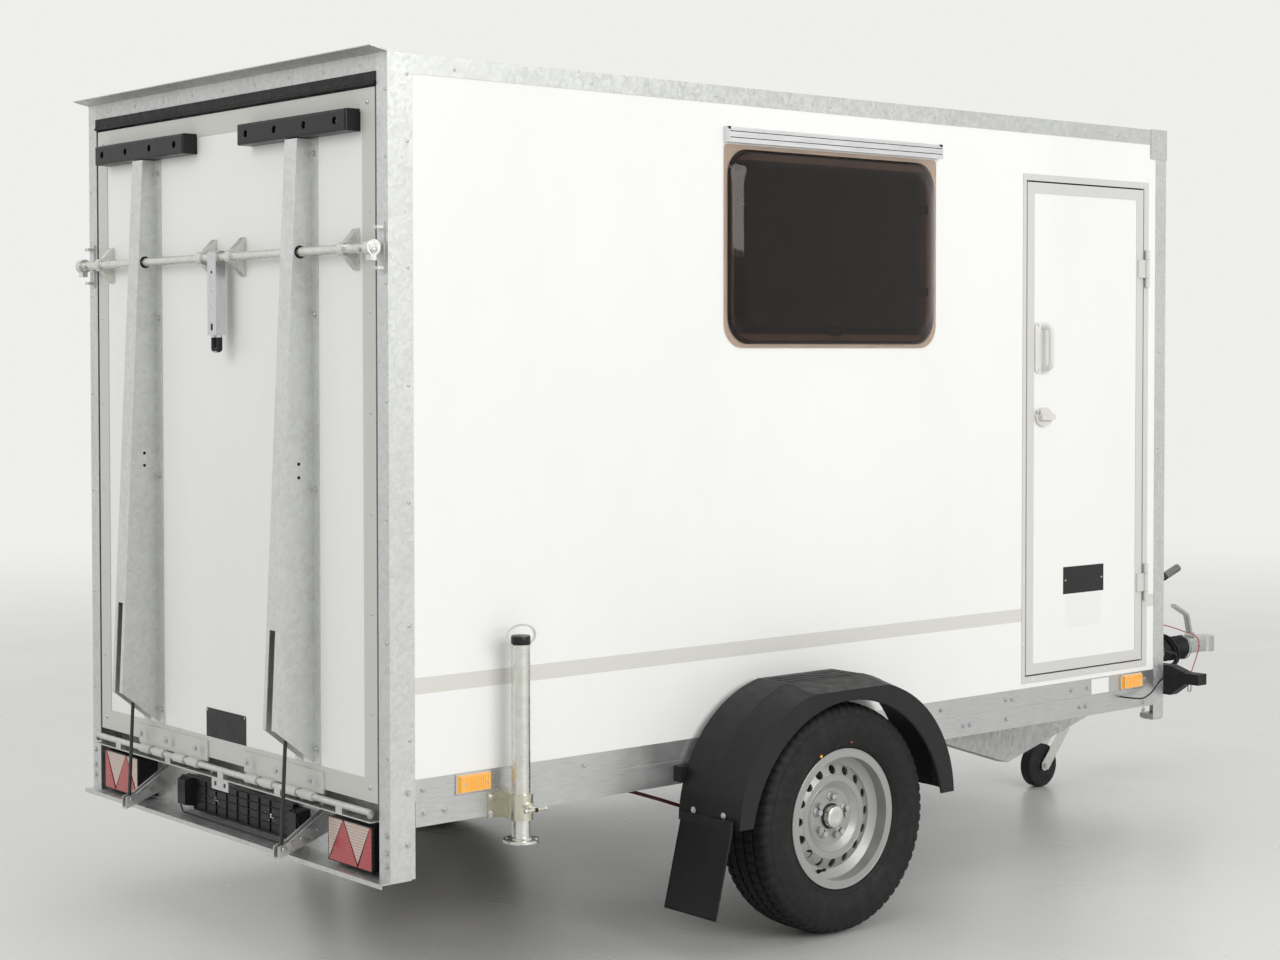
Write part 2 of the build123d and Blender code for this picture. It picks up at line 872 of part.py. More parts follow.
# Fenders: moulded arches with a flat top and a sloped shoulder, each with stays and a mudflap
fender_outer = ((0.0, 0.0), (fender_ridge, 0.0), (fender_width, fender_drop))
fender_hollow = (
    (-fender_sheet, fender_sheet),
    (fender_ridge, fender_sheet),
    (fender_width - fender_sheet, fender_drop + fender_sheet),
)
with BuildPart() as fenders:
    for reach, drop in fender_outer:
        top = fender_top - drop
        heel = fender_heel - drop
        hip = (fender_hip[0] - hip_share * drop, fender_hip[1] - hip_share * drop)
        with BuildSketch(along_y(-(fender_in + reach))):
            with BuildLine():
                Line((axle_x - fender_flat, top), (axle_x + fender_flat, top))
                ThreePointArc(
                    (axle_x + fender_flat, top), (axle_x + hip[0], hip[1]), (axle_x + heel, fender_foot)
                )
                Line((axle_x + heel, fender_foot), (axle_x - heel, fender_foot))
                ThreePointArc(
                    (axle_x - heel, fender_foot), (axle_x - hip[0], hip[1]), (axle_x - fender_flat, top)
                )
            make_face()
    loft(ruled=True)
    for reach, drop in fender_hollow:
        top = fender_top - drop
        heel = fender_heel - drop
        hip = (fender_hip[0] - hip_share * drop, fender_hip[1] - hip_share * drop)
        with BuildSketch(along_y(-(fender_in + reach))):
            with BuildLine():
                Line((axle_x - fender_flat, top), (axle_x + fender_flat, top))
                ThreePointArc(
                    (axle_x + fender_flat, top), (axle_x + hip[0], hip[1]), (axle_x + heel, fender_foot)
                )
                Line((axle_x + heel, fender_foot), (axle_x - heel, fender_foot))
                ThreePointArc(
                    (axle_x - heel, fender_foot), (axle_x - hip[0], hip[1]), (axle_x - fender_flat, top)
                )
            make_face()
    loft(ruled=True, mode=Mode.SUBTRACT)
    with BuildSketch(along_y(-(fender_in + fender_ridge))):
        with BuildLine():
            Line((axle_x - arch_half, fender_foot), (axle_x + arch_half, fender_foot))
            ThreePointArc(
                (axle_x + arch_half, fender_foot), (axle_x, arch_height), (axle_x - arch_half, fender_foot)
            )
        make_face()
    extrude(amount=fender_width, mode=Mode.SUBTRACT)
    with BuildSketch(along_y(-(fender_in + flap_inset))):
        outline(
            [
                (axle_x - fender_heel + flap_lap, fender_foot + flap_lap_tall),
                (axle_x - fender_heel + flap_lap - flap_sheet, fender_foot + flap_lap_tall),
                (axle_x - fender_heel + flap_lap - flap_sheet, fender_foot),
                (axle_x - fender_heel + flap_lap - flap_sheet - flap_lean, flap_foot),
                (axle_x - fender_heel + flap_lap - flap_lean, flap_foot),
                (axle_x - fender_heel + flap_lap, fender_foot),
            ]
        )
    extrude(amount=flap_width)
    with BuildSketch(along_y(-rail_low_y)):
        with Locations(
            (axle_x - stay_reach, (stay_low + stay_high) / 2),
            (axle_x + stay_reach, (stay_low + stay_high) / 2),
        ):
            Rectangle(stay_wide, stay_high - stay_low)
    extrude(amount=fender_in + fender_sheet - rail_low_y)
    mirror(about=Plane.XZ)
fenders.part.label = "fenders"
export_step(fenders.part, "parts/fenders.step")

# Axle: a square tube under the rails, and a trailing arm, stub and brake plate at each end
with BuildPart() as axle:
    with BuildSketch(along_y(arm_in)):
        with Locations((axle_tube_x, axle_height)):
            RectangleRounded(axle_tube, axle_tube, axle_corner)
    extrude(amount=2 * arm_in)
    with BuildSketch(along_y(-(skin - rail_flange))):
        rect_between(
            (axle_tube_x - axle_seat / 2, axle_height), (axle_tube_x + axle_seat / 2, frame_bottom)
        )
    extrude(amount=axle_seat_wide)
    with BuildSketch(along_y(-arm_in)):
        outline(
            [
                (axle_x, tyre_radius - arm_end),
                (axle_tube_x, axle_height - arm_boss),
                (axle_tube_x + arm_boss, axle_height),
                (axle_tube_x, axle_height + arm_boss),
                (axle_x, tyre_radius + arm_end),
                (axle_x - arm_end, tyre_radius),
            ]
        )
    extrude(amount=arm_sheet)
    with BuildSketch(along_y(-(arm_in + arm_sheet))):
        with Locations((axle_x, tyre_radius)):
            Circle(stub_radius)
    extrude(amount=stub_end - arm_in - arm_sheet)
    with BuildSketch(along_y(-backplate_in)):
        with Locations((axle_x, tyre_radius)):
            Circle(drum_radius)
    extrude(amount=backplate_sheet)
    mirror(about=Plane.XZ)
axle.part.label = "axle"
export_step(axle.part, "parts/axle.step")

# Wheels: a pressed rim and disc with the brake drum behind, and a solid tyre around the rim
wheel_sides = (("right", -1.0), ("left", 1.0))
for side, sign in wheel_sides:
    wheel_plane = Plane(
        origin=(axle_x, sign * tyre_centre, tyre_radius), x_dir=(0, sign, 0), z_dir=(-1, 0, 0)
    )
    wheel_axis = Axis((axle_x, sign * tyre_centre, tyre_radius), (0, 1, 0))
    with BuildPart() as tyre:
        with BuildSketch(wheel_plane):
            with BuildLine():
                Polyline(
                    (-bead_half, -bead_top_radius),
                    (-bead_half, -(bead_radius + curve_gap)),
                    (bead_half, -(bead_radius + curve_gap)),
                    (bead_half, -bead_top_radius),
                )
                ThreePointArc(
                    (bead_half, -bead_top_radius),
                    (tyre_half, -tyre_bulge_radius),
                    (tyre_shoulder, -tyre_shoulder_radius),
                )
                ThreePointArc(
                    (tyre_shoulder, -tyre_shoulder_radius),
                    (0, -tyre_radius),
                    (-tyre_shoulder, -tyre_shoulder_radius),
                )
                ThreePointArc(
                    (-tyre_shoulder, -tyre_shoulder_radius),
                    (-tyre_half, -tyre_bulge_radius),
                    (-bead_half, -bead_top_radius),
                )
            make_face()
        revolve(axis=wheel_axis)
    tyre.part.label = f"tyre_{side}"
    export_step(tyre.part, f"parts/tyre_{side}.step")

    with BuildPart() as rim:
        with BuildSketch(wheel_plane):
            outline(
                [
                    (-rim_half, -rim_flange_radius),
                    (-rim_half + rim_flange, -rim_flange_radius),
                    (-rim_half + rim_flange, -bead_radius),
                    (-well_half - well_slope, -bead_radius),
                    (-well_half, -well_radius),
                    (well_half, -well_radius),
                    (well_half + well_slope, -bead_radius),
                    (rim_half - rim_flange, -bead_radius),
                    (rim_half - rim_flange, -rim_flange_radius),
                    (rim_half, -rim_flange_radius),
                    (rim_half, -(bead_radius - rim_sheet)),
                    (well_half + well_slope + rim_sheet, -(bead_radius - rim_sheet)),
                    (well_half + rim_sheet, -(well_radius - rim_sheet)),
                    (-well_half - rim_sheet, -(well_radius - rim_sheet)),
                    (-well_half - well_slope - rim_sheet, -(bead_radius - rim_sheet)),
                    (-rim_half, -(bead_radius - rim_sheet)),
                ]
            )
            outline(
                [
                    (disc_face - disc_sheet, 0.0),
                    (disc_face - disc_sheet, -disc_flat_radius),
                    (disc_face + disc_crown - disc_sheet, -disc_crown_in),
                    (disc_face + disc_crown - disc_sheet, -disc_crown_out),
                    (well_half - disc_sheet, -well_radius),
                    (well_half, -well_radius),
                    (disc_face + disc_crown, -disc_crown_out),
                    (disc_face + disc_crown, -disc_crown_in),
                    (disc_face, -disc_flat_radius),
                    (disc_face, 0.0),
                ]
            )
            outline(
                [
                    (drum_in - tyre_centre, 0.0),
                    (drum_in - tyre_centre, -drum_radius),
                    (disc_face - 2 * disc_sheet, -drum_radius),
                    (disc_face - disc_sheet, -disc_flat_radius),
                    (disc_face - disc_sheet, 0.0),
                ]
            )
            outline(
                [
                    (disc_face, 0.0),
                    (disc_face, -hub_cap_radius),
                    (disc_face + hub_cap_out, -hub_cap_radius),
                    (disc_face + hub_cap_out, 0.0),
                ]
            )
        revolve(axis=wheel_axis)
        with BuildSketch(wheel_plane):
            rect_between(
                (drum_in - tyre_centre, -(stub_radius + pin_fit)), (stub_end - tyre_centre + stub_gap, 0.0)
            )
        revolve(axis=wheel_axis, mode=Mode.SUBTRACT)
        face_plane = Plane(
            origin=(axle_x, sign * (tyre_centre + disc_face), tyre_radius),
            x_dir=(1, 0, 0),
            z_dir=(0, sign, 0),
        )
        with BuildSketch(face_plane):
            with PolarLocations(stud_ring_radius, stud_count):
                Circle(stud_radius)
        extrude(amount=stud_out)
        with BuildSketch(face_plane.offset(disc_crown + disc_sheet)):
            with PolarLocations(hand_hole_ring_radius, hand_holes):
                Circle(hand_hole_radius)
        extrude(amount=-(2 * disc_crown + 2 * disc_sheet), mode=Mode.SUBTRACT)
    rim.part.label = f"wheel_rim_{side}"
    export_step(rim.part, f"parts/wheel_rim_{side}.step")

# Ramp: a sandwich sheet in a folded frame, and the frame's hinge leaves and barrels
with BuildPart() as ramp_panel:
    with BuildSketch(along_x(ramp_face)):
        rect_between(
            (-(ramp_half - ramp_edge), ramp_foot + ramp_edge),
            (ramp_half - ramp_edge, ramp_head - ramp_edge),
        )
    extrude(amount=ramp_sheet)
ramp_panel.part.label = "ramp_panel"
export_step(ramp_panel.part, "parts/ramp_panel.step")

with BuildPart() as ramp_frame:
    with BuildSketch(along_x(ramp_outer)):
        rect_between((-ramp_half, ramp_foot), (ramp_half, ramp_head))
        rect_between(
            (-(ramp_half - ramp_trim), ramp_foot + ramp_trim),
            (ramp_half - ramp_trim, ramp_head - ramp_trim),
            Mode.SUBTRACT,
        )
    extrude(amount=ramp_sheet + 2 * ramp_skin)
    with BuildSketch(along_x(ramp_face)):
        rect_between(
            (-(ramp_half - ramp_edge), ramp_foot + ramp_edge),
            (ramp_half - ramp_edge, ramp_head - ramp_edge),
        )
    extrude(amount=ramp_sheet, mode=Mode.SUBTRACT)
    for leaf_y in leaf_ys:
        with BuildSketch(facing_rear(ramp_outer)):
            rect_between((leaf_y - leaf_length / 2, leaf_foot), (leaf_y + leaf_length / 2, leaf_head))
        extrude(amount=leaf_sheet)
    for barrel_y in barrel_ys:
        with BuildSketch(along_y(barrel_y + barrel_length / 2)):
            rect_between((ramp_outer - leaf_sheet, hinge_height), (ramp_outer, leaf_foot))
            with Locations((hinge_x, hinge_height)):
                Circle(barrel_radius)
                Circle(hinge_pin_radius + pin_fit, mode=Mode.SUBTRACT)
        extrude(amount=barrel_length)
ramp_frame.part.label = "ramp_frame"
export_step(ramp_frame.part, "parts/ramp_frame.step")

# Ramp rails: tapered hat channels over the gas springs, with the springs' upper pins
heel_slope = (channel_heel_depth - channel_head_depth) / (channel_head - channel_heel)
open_foot = frame_bottom
open_depth = channel_head_depth + heel_slope * (channel_head - open_foot)
with BuildPart() as ramp_rails:
    with BuildSketch(along_y(-(channel_centre - channel_width / 2))):
        outline(
            [
                (ramp_face, channel_head),
                (rear_x - channel_head_depth, channel_head),
                (rear_x - channel_heel_depth, channel_heel),
                (ramp_face, channel_foot),
            ]
        )
    extrude(amount=channel_width)
    with BuildSketch(along_y(-(channel_centre - channel_width / 2 + channel_sheet))):
        outline(
            [
                (ramp_face, channel_head - channel_sheet),
                (rear_x - channel_head_depth + channel_sheet, channel_head - channel_sheet),
                (rear_x - open_depth + channel_sheet, open_foot),
                (ramp_face, open_foot),
            ]
        )
    extrude(amount=channel_width - 2 * channel_sheet, mode=Mode.SUBTRACT)
    with BuildSketch(facing_rear(ramp_face)):
        with Locations((channel_centre, (channel_foot + channel_head) / 2)):
            Rectangle(channel_width + 2 * channel_flange, channel_head - channel_foot)
            Rectangle(channel_width - 2 * channel_sheet, channel_head - channel_foot, mode=Mode.SUBTRACT)
    extrude(amount=channel_sheet)
    with BuildSketch(facing_rear(rear_x - spring_head_back - spring_tube_radius)):
        rect_between(
            (channel_centre - slot_width / 2, channel_foot), (channel_centre + slot_width / 2, slot_head)
        )
    extrude(amount=channel_heel_depth, mode=Mode.SUBTRACT)
    with BuildSketch(along_y(-(channel_centre - channel_width / 2))):
        with Locations((bar_x, bar_height)):
            Circle(bar_hole)
    extrude(amount=channel_width, mode=Mode.SUBTRACT)
    with BuildSketch(along_y(-(channel_centre - channel_width / 2))):
        with Locations((rear_x - spring_head_back, spring_head)):
            Circle(eye_pin_radius)
    extrude(amount=channel_width)
    mirror(about=Plane.XZ)
ramp_rails.part.label = "ramp_rails"
export_step(ramp_rails.part, "parts/ramp_rails.step")

# Ramp buffers: rubber blocks with bolt recesses, on which the lowered ramp rests
with BuildPart() as ramp_buffers:
    with BuildSketch(facing_rear(ramp_outer)):
        with Locations((buffer_centre, buffer_foot + buffer_tall / 2)):
            Rectangle(buffer_length, buffer_tall)
    extrude(amount=buffer_depth)
    fillet(ramp_buffers.faces().sort_by(Axis.X)[0].edges(), radius=buffer_round)
    with BuildSketch(facing_rear(ramp_face)):
        rect_between(
            (buffer_centre - buffer_length / 2, buffer_foot),
            (buffer_centre + buffer_length / 2, ramp_head - ramp_trim),
        )
    extrude(amount=ramp_skin)
    with BuildSketch(facing_rear(ramp_outer - buffer_depth)):
        with Locations((buffer_centre, buffer_foot + buffer_tall / 2)):
            with GridLocations(buffer_bolt_pitch, 0, buffer_bolts, 1):
                Circle(buffer_bolt_radius)
    extrude(amount=-buffer_bolt_depth, mode=Mode.SUBTRACT)
    mirror(about=Plane.XZ)
ramp_buffers.part.label = "ramp_buffers"
export_step(ramp_buffers.part, "parts/ramp_buffers.step")

# Bar brackets: four saddles that carry the lock bar across the ramp
with BuildPart() as bar_brackets:
    for bracket_y in bracket_ys:
        with BuildSketch(along_y(bracket_y + bracket_wide / 2)):
            outline(
                [
                    (ramp_face, bar_height + bracket_half_tall),
                    (ramp_face - bracket_sheet, bar_height + bracket_half_tall),
                    (bar_x, bar_height + bracket_hub),
                    (bar_x, bar_height - bracket_hub),
                    (ramp_face - bracket_sheet, bar_height - bracket_half_tall),
                    (ramp_face, bar_height - bracket_half_tall),
                ]
            )
            with Locations((bar_x, bar_height)):
                Circle(bracket_hub)
                Circle(bar_radius + pin_fit, mode=Mode.SUBTRACT)
        extrude(amount=bracket_wide)
bar_brackets.part.label = "bar_brackets"
export_step(bar_brackets.part, "parts/bar_brackets.step")

# Lock bar: a round bar across the ramp with a cam on each end
with BuildPart() as lock_bar:
    with BuildSketch(along_y(bar_half)):
        with Locations((bar_x, bar_height)):
            Circle(bar_radius)
    extrude(amount=2 * bar_half)
    for cam_y in (-cam_centre, cam_centre):
        with BuildSketch(along_y(cam_y + cam_wide / 2)):
            with Locations((bar_x, bar_height)):
                Circle(cam_radius)
            rect_between(
                (bar_x - cam_nose_half, bar_height - cam_nose), (bar_x + cam_nose_half, bar_height)
            )
        extrude(amount=cam_wide)
lock_bar.part.label = "lock_bar"
export_step(lock_bar.part, "parts/lock_bar.step")

# Lock handle: a channel clamped on the bar by its hub, with a bent grip below
grip_x = rear_x - (handle_back + handle_front) / 2
with BuildPart() as lock_handle:
    with BuildSketch(along_y(grip_centre + handle_wide / 2)):
        rect_between((rear_x - handle_back, handle_foot), (rear_x - handle_front, handle_head))
    extrude(amount=handle_wide)
    with BuildSketch(along_y(grip_centre + handle_wide / 2 - handle_sheet)):
        rect_between(
            (rear_x - handle_back + handle_sheet, handle_foot), (rear_x - handle_front, handle_head)
        )
    extrude(amount=handle_wide - 2 * handle_sheet, mode=Mode.SUBTRACT)
    with BuildSketch(along_y(grip_centre + handle_wide / 2)):
        with Locations((bar_x, bar_height)):
            Circle(handle_hub)
    extrude(amount=handle_wide)
    with BuildSketch(along_y(grip_centre + handle_wide / 2)):
        with Locations((bar_x, bar_height)):
            Circle(bar_radius + curve_gap)
    extrude(amount=handle_wide, mode=Mode.SUBTRACT)
    with BuildLine() as grip_path:
        FilletPolyline(
            (grip_x, grip_centre - grip_half, handle_foot + grip_lap),
            (grip_x, grip_centre - grip_half, grip_foot),
            (grip_x, grip_centre + grip_half, grip_foot),
            (grip_x, grip_centre + grip_half, handle_foot + grip_lap),
            radius=grip_bend,
        )
    with BuildSketch(Plane(origin=grip_path.line @ 0, z_dir=grip_path.line % 0)):
        Circle(grip_rod)
    sweep(path=grip_path.line)
lock_handle.part.label = "lock_handle"
export_step(lock_handle.part, "parts/lock_handle.step")

# Gas springs: a tube hung on the channel's pin, and a rod that reaches down to the arm's tip
spring_top = (rear_x - spring_head_back, spring_head)
spring_end = (rear_x - spring_arm_back, spring_arm_height)
spring_rest = hypot(spring_end[0] - spring_top[0], spring_end[1] - spring_top[1])
spring_way = ((spring_end[0] - spring_top[0]) / spring_rest, (spring_end[1] - spring_top[1]) / spring_rest)
for side, sign in wheel_sides:
    spring_y = sign * channel_centre
    top_plane = Plane(
        origin=(spring_top[0], spring_y, spring_top[1]),
        x_dir=(0, 1, 0),
        z_dir=(spring_way[0], 0, spring_way[1]),
    )
    end_plane = Plane(
        origin=(spring_end[0], spring_y, spring_end[1]),
        x_dir=(0, 1, 0),
        z_dir=(-spring_way[0], 0, -spring_way[1]),
    )
    with BuildPart() as gas_cylinder:
        with BuildSketch(along_y(spring_y + eye_wide / 2)):
            with Locations(spring_top):
                Circle(eye_radius)
                Circle(eye_pin_radius + pin_fit, mode=Mode.SUBTRACT)
        extrude(amount=eye_wide)
        with BuildSketch(top_plane.offset(spring_tube_start)):
            Circle(spring_tube_radius)
        extrude(amount=spring_tube_length - spring_tube_start)
        with BuildSketch(top_plane.offset(spring_bore_start)):
            Circle(rod_bore)
        extrude(amount=spring_tube_length, mode=Mode.SUBTRACT)
    gas_cylinder.part.label = f"gas_cylinder_{side}"
    export_step(gas_cylinder.part, f"parts/gas_cylinder_{side}.step")

    with BuildPart() as gas_rod:
        with BuildSketch(along_y(spring_y + eye_wide / 2)):
            with Locations(spring_end):
                Circle(eye_radius)
                Circle(eye_pin_radius + pin_fit, mode=Mode.SUBTRACT)
        extrude(amount=eye_wide)
        with BuildSketch(end_plane.offset(spring_tube_start)):
            Circle(spring_rod_radius)
        extrude(amount=spring_rest - spring_tube_length + rod_inside - spring_tube_start)
    gas_rod.part.label = f"gas_rod_{side}"
    export_step(gas_rod.part, f"parts/gas_rod_{side}.step")

# Door frame: an outer flange and a lining in the wall's cut-out, with the fixed hinge knuckles
door_pin_x = rear_x + door_pin_fore
door_pin_y = -(skin + door_pin_out)
leaf_x = (door_x[0] + door_gap, door_x[1] - door_gap)
leaf_z = (door_high[0] + door_gap, door_high[1] - door_gap)
with BuildPart() as door_frame:
    with BuildSketch(along_y(-skin)):
        rect_between(
            (rear_x + door_flange_fore[0], door_flange_high[0]),
            (rear_x + door_flange_fore[1], door_flange_high[1]),
        )
        rect_between((door_x[0], door_high[0]), (door_x[1], door_high[1]), Mode.SUBTRACT)
    extrude(amount=trim_sheet)
    with BuildSketch(along_y(-(skin - wall))):
        rect_between(
            (door_x[0] - door_lining, door_high[0] - door_lining),
            (door_x[1] + door_lining, door_high[1] + door_lining),
        )
        rect_between((door_x[0], door_high[0]), (door_x[1], door_high[1]), Mode.SUBTRACT)
    extrude(amount=wall)
    for foot in door_hinge_feet:
        with BuildSketch(along_y(-door_skin)):
            rect_between(
                (door_pin_x + door_barrel_radius + hinge_relief, foot),
                (rear_x + door_flange_fore[1], foot + door_hinge_tall),
            )
            rect_between((door_pin_x, foot), (rear_x + door_flange_fore[1], foot + knuckle))
            rect_between(
                (door_pin_x, foot + door_hinge_tall - knuckle),
                (rear_x + door_flange_fore[1], foot + door_hinge_tall),
            )
        extrude(amount=hinge_leaf)
        for knuckle_foot in (foot, foot + door_hinge_tall - knuckle):
            with BuildSketch(Plane.XY.offset(knuckle_foot)):
                with Locations((door_pin_x, door_pin_y)):
                    Circle(door_barrel_radius)
            extrude(amount=knuckle)
        with BuildSketch(Plane.XY.offset(foot)):
            with Locations((door_pin_x, door_pin_y)):
                Circle(door_pin_radius)
        extrude(amount=door_hinge_tall)
door_frame.part.label = "door_frame"
export_step(door_frame.part, "parts/door_frame.step")

# Door: a sandwich leaf, its edge trim with the moving hinge barrels, a pull and a lock
with BuildPart() as door_panel:
    with BuildSketch(along_y(-(skin - wall))):
        rect_between((leaf_x[0], leaf_z[0]), (leaf_x[1], leaf_z[1]))
    extrude(amount=wall)
door_panel.part.label = "door_panel"
export_step(door_panel.part, "parts/door_panel.step")

with BuildPart() as door_edge:
    with BuildSketch(along_y(-skin)):
        rect_between((leaf_x[0], leaf_z[0]), (leaf_x[1], leaf_z[1]))
        rect_between(
            (leaf_x[0] + leaf_edge, leaf_z[0] + leaf_edge),
            (leaf_x[1] - leaf_edge, leaf_z[1] - leaf_edge),
            Mode.SUBTRACT,
        )
    extrude(amount=trim_sheet)
    for foot in door_hinge_feet:
        low = foot + knuckle + knuckle_gap
        high = foot + door_hinge_tall - knuckle - knuckle_gap
        with BuildSketch(along_y(-door_skin)):
            rect_between((leaf_x[1] - hinge_leaf_wide, low), (leaf_x[1], high))
        extrude(amount=strap_high - trim_sheet)
        with BuildSketch(Plane.XY.offset(low)):
            rect_between((leaf_x[1], -(skin + strap_high)), (door_pin_x, -(skin + strap_low)))
            with Locations((door_pin_x, door_pin_y)):
                Circle(door_barrel_radius)
                Circle(door_pin_radius + pin_fit, mode=Mode.SUBTRACT)
        extrude(amount=high - low)
door_edge.part.label = "door_edge"
export_step(door_edge.part, "parts/door_edge.step")

pull_mid = (pull_foot + pull_head) / 2
pull_run = (pull_head - pull_foot) / 2 - pull_bend
with BuildPart() as door_pull:
    with BuildSketch(along_y(-skin)):
        with Locations((rear_x + pull_fore, pull_mid)):
            RectangleRounded(pull_wide, pull_head - pull_foot, pull_bend)
    extrude(amount=pull_base)
    with BuildLine() as pull_path:
        FilletPolyline(
            (rear_x + pull_fore, -(skin + pull_base / 2), pull_mid - pull_run),
            (rear_x + pull_fore, -(skin + pull_out), pull_mid - pull_run),
            (rear_x + pull_fore, -(skin + pull_out), pull_mid + pull_run),
            (rear_x + pull_fore, -(skin + pull_base / 2), pull_mid + pull_run),
            radius=pull_bend,
        )
    with BuildSketch(Plane(origin=pull_path.line @ 0, z_dir=pull_path.line % 0)):
        Circle(pull_radius)
    sweep(path=pull_path.line)
door_pull.part.label = "door_pull"
export_step(door_pull.part, "parts/door_pull.step")

with BuildPart() as door_lock:
    with BuildSketch(along_y(-skin)):
        with Locations((rear_x + lock_fore, lock_height)):
            Ellipse(lock_half_wide, lock_half_tall)
    extrude(amount=lock_base)
    with BuildSketch(along_y(-(skin + lock_base))):
        with Locations((rear_x + lock_fore, lock_height)):
            RectangleRounded(lock_paddle_wide, lock_paddle_tall, lock_paddle_tall / 3)
    extrude(amount=lock_paddle_out)
door_lock.part.label = "door_lock"
export_step(door_lock.part, "parts/door_lock.step")

# Side window: a bulged shell over the wall's cut-out, hung from a rail above it
pane_x = (rear_x + window_fore[0], rear_x + window_fore[1])
with BuildPart() as window_pane:
    with BuildSketch(along_y(-skin)):
        with Locations(((pane_x[0] + pane_x[1]) / 2, (window_high[0] + window_high[1]) / 2)):
            RectangleRounded(pane_x[1] - pane_x[0], window_high[1] - window_high[0], pane_corner)
    extrude(amount=pane_bulge, taper=pane_taper)
    with BuildSketch(along_y(-skin)):
        with Locations(((pane_x[0] + pane_x[1]) / 2, (window_high[0] + window_high[1]) / 2)):
            RectangleRounded(
                pane_x[1] - pane_x[0] - 2 * pane_sheet,
                window_high[1] - window_high[0] - 2 * pane_sheet,
                pane_corner - pane_sheet,
            )
    extrude(amount=pane_bulge - pane_sheet, taper=pane_taper, mode=Mode.SUBTRACT)
window_pane.part.label = "window_pane"
export_step(window_pane.part, "parts/window_pane.step")

with BuildPart() as window_rail:
    with BuildSketch(along_y(-skin)):
        rect_between(
            (rear_x + window_rail_fore[0], window_rail_high[0]),
            (rear_x + window_rail_fore[1], window_rail_high[1]),
        )
    extrude(amount=window_rail_out)
    fillet(
        window_rail.faces().sort_by(Axis.Y)[0].edges().filter_by(Axis.X).sort_by(Axis.Z)[-1],
        radius=window_rail_round,
    )
window_rail.part.label = "window_rail"
export_step(window_rail.part, "parts/window_rail.step")

# Drawbar: two folded arms that run in from under the body to the coupling
draw_run = hypot(draw_front[0] - draw_rear[0], draw_front[1] - draw_rear[1])
draw_way = ((draw_front[0] - draw_rear[0]) / draw_run, (draw_rear[1] - draw_front[1]) / draw_run)
draw_plane = Plane(
    origin=(rear_x + draw_rear[0], -draw_rear[1], 0),
    x_dir=(draw_way[0], draw_way[1], 0),
    z_dir=(draw_way[1], -draw_way[0], 0),
)
draw_apex_run = (draw_apex[0] - draw_rear[0]) / draw_way[0]
draw_step_run = (draw_step_fore - draw_rear[0]) / draw_way[0]
with BuildPart() as drawbar_arms:
    with BuildSketch(draw_plane):
        outline(
            [
                (0, draw_rear_low),
                (draw_apex_run, draw_apex[1]),
                (draw_run, draw_front_low),
                (draw_run, draw_front_high),
                (draw_step_run, draw_front_high),
                (draw_step_run, frame_bottom),
                (0, frame_bottom),
            ]
        )
    extrude(amount=-draw_flange)
    with BuildSketch(draw_plane.offset(-draw_sheet)):
        outline(
            [
                (0, draw_rear_low + draw_sheet),
                (draw_apex_run, draw_apex[1] + draw_sheet),
                (draw_run, draw_front_low + draw_sheet),
                (draw_run, draw_front_high - draw_sheet),
                (draw_step_run + draw_sheet, draw_front_high - draw_sheet),
                (draw_step_run + draw_sheet, frame_bottom - draw_sheet),
                (0, frame_bottom - draw_sheet),
            ]
        )
    extrude(amount=-draw_flange, mode=Mode.SUBTRACT)
    with BuildSketch(Plane.XY.offset(draw_apex[1])):
        rect_between((rear_x + overrun_rear, -draw_clear), (rear_x + overrun_front, draw_clear))
    extrude(amount=draw_front_high, mode=Mode.SUBTRACT)
    mirror(about=Plane.XZ)
drawbar_arms.part.label = "drawbar_arms"
export_step(drawbar_arms.part, "parts/drawbar_arms.step")

# Overrun device: a guide tube bolted on the arms by a plate, with a ring at its front
plate_reach = [
    draw_rear[1] - (fore - draw_rear[0]) * (draw_rear[1] - draw_front[1]) / (draw_front[0] - draw_rear[0])
    for fore in overrun_plate
]
with BuildPart() as overrun_device:
    with BuildSketch(along_x(rear_x + overrun_rear)):
        with Locations((0, coupling_height)):
            Circle(overrun_radius)
    extrude(amount=overrun_front - overrun_rear)
    with BuildSketch(along_x(rear_x + overrun_front)):
        with Locations((0, coupling_height)):
            Circle(overrun_ring_radius)
    extrude(amount=-overrun_ring)
    with BuildSketch(Plane.XY.offset(draw_front_high)):
        outline(
            [
                (rear_x + overrun_plate[0], -plate_reach[0]),
                (rear_x + overrun_plate[1], -plate_reach[1]),
                (rear_x + overrun_plate[1], plate_reach[1]),
                (rear_x + overrun_plate[0], plate_reach[0]),
            ]
        )
    extrude(amount=overrun_plate_sheet)
overrun_device.part.label = "overrun_device"
export_step(overrun_device.part, "parts/overrun_device.step")

# Bellows: a folded rubber boot around the coupling's draw tube
boot_pitch = (boot_front - overrun_front) / boot_folds
boot_points = [(rear_x + overrun_front, boot_valley)]
for fold in range(boot_folds):
    fold_x = rear_x + overrun_front + fold * boot_pitch
    boot_points.append((fold_x + boot_pitch / 2, boot_radius))
    boot_points.append((fold_x + boot_pitch, boot_valley))
boot_plane = Plane(origin=(0, 0, coupling_height), x_dir=(1, 0, 0), z_dir=(0, -1, 0))
coupling_axis = Axis((0, 0, coupling_height), (1, 0, 0))
with BuildPart() as bellows:
    with BuildSketch(boot_plane):
        outline(
            boot_points
            + [
                (rear_x + boot_front, draw_tube_radius + curve_gap),
                (rear_x + overrun_front, draw_tube_radius + curve_gap),
            ]
        )
    revolve(axis=coupling_axis)
bellows.part.label = "bellows"
export_step(bellows.part, "parts/bellows.step")

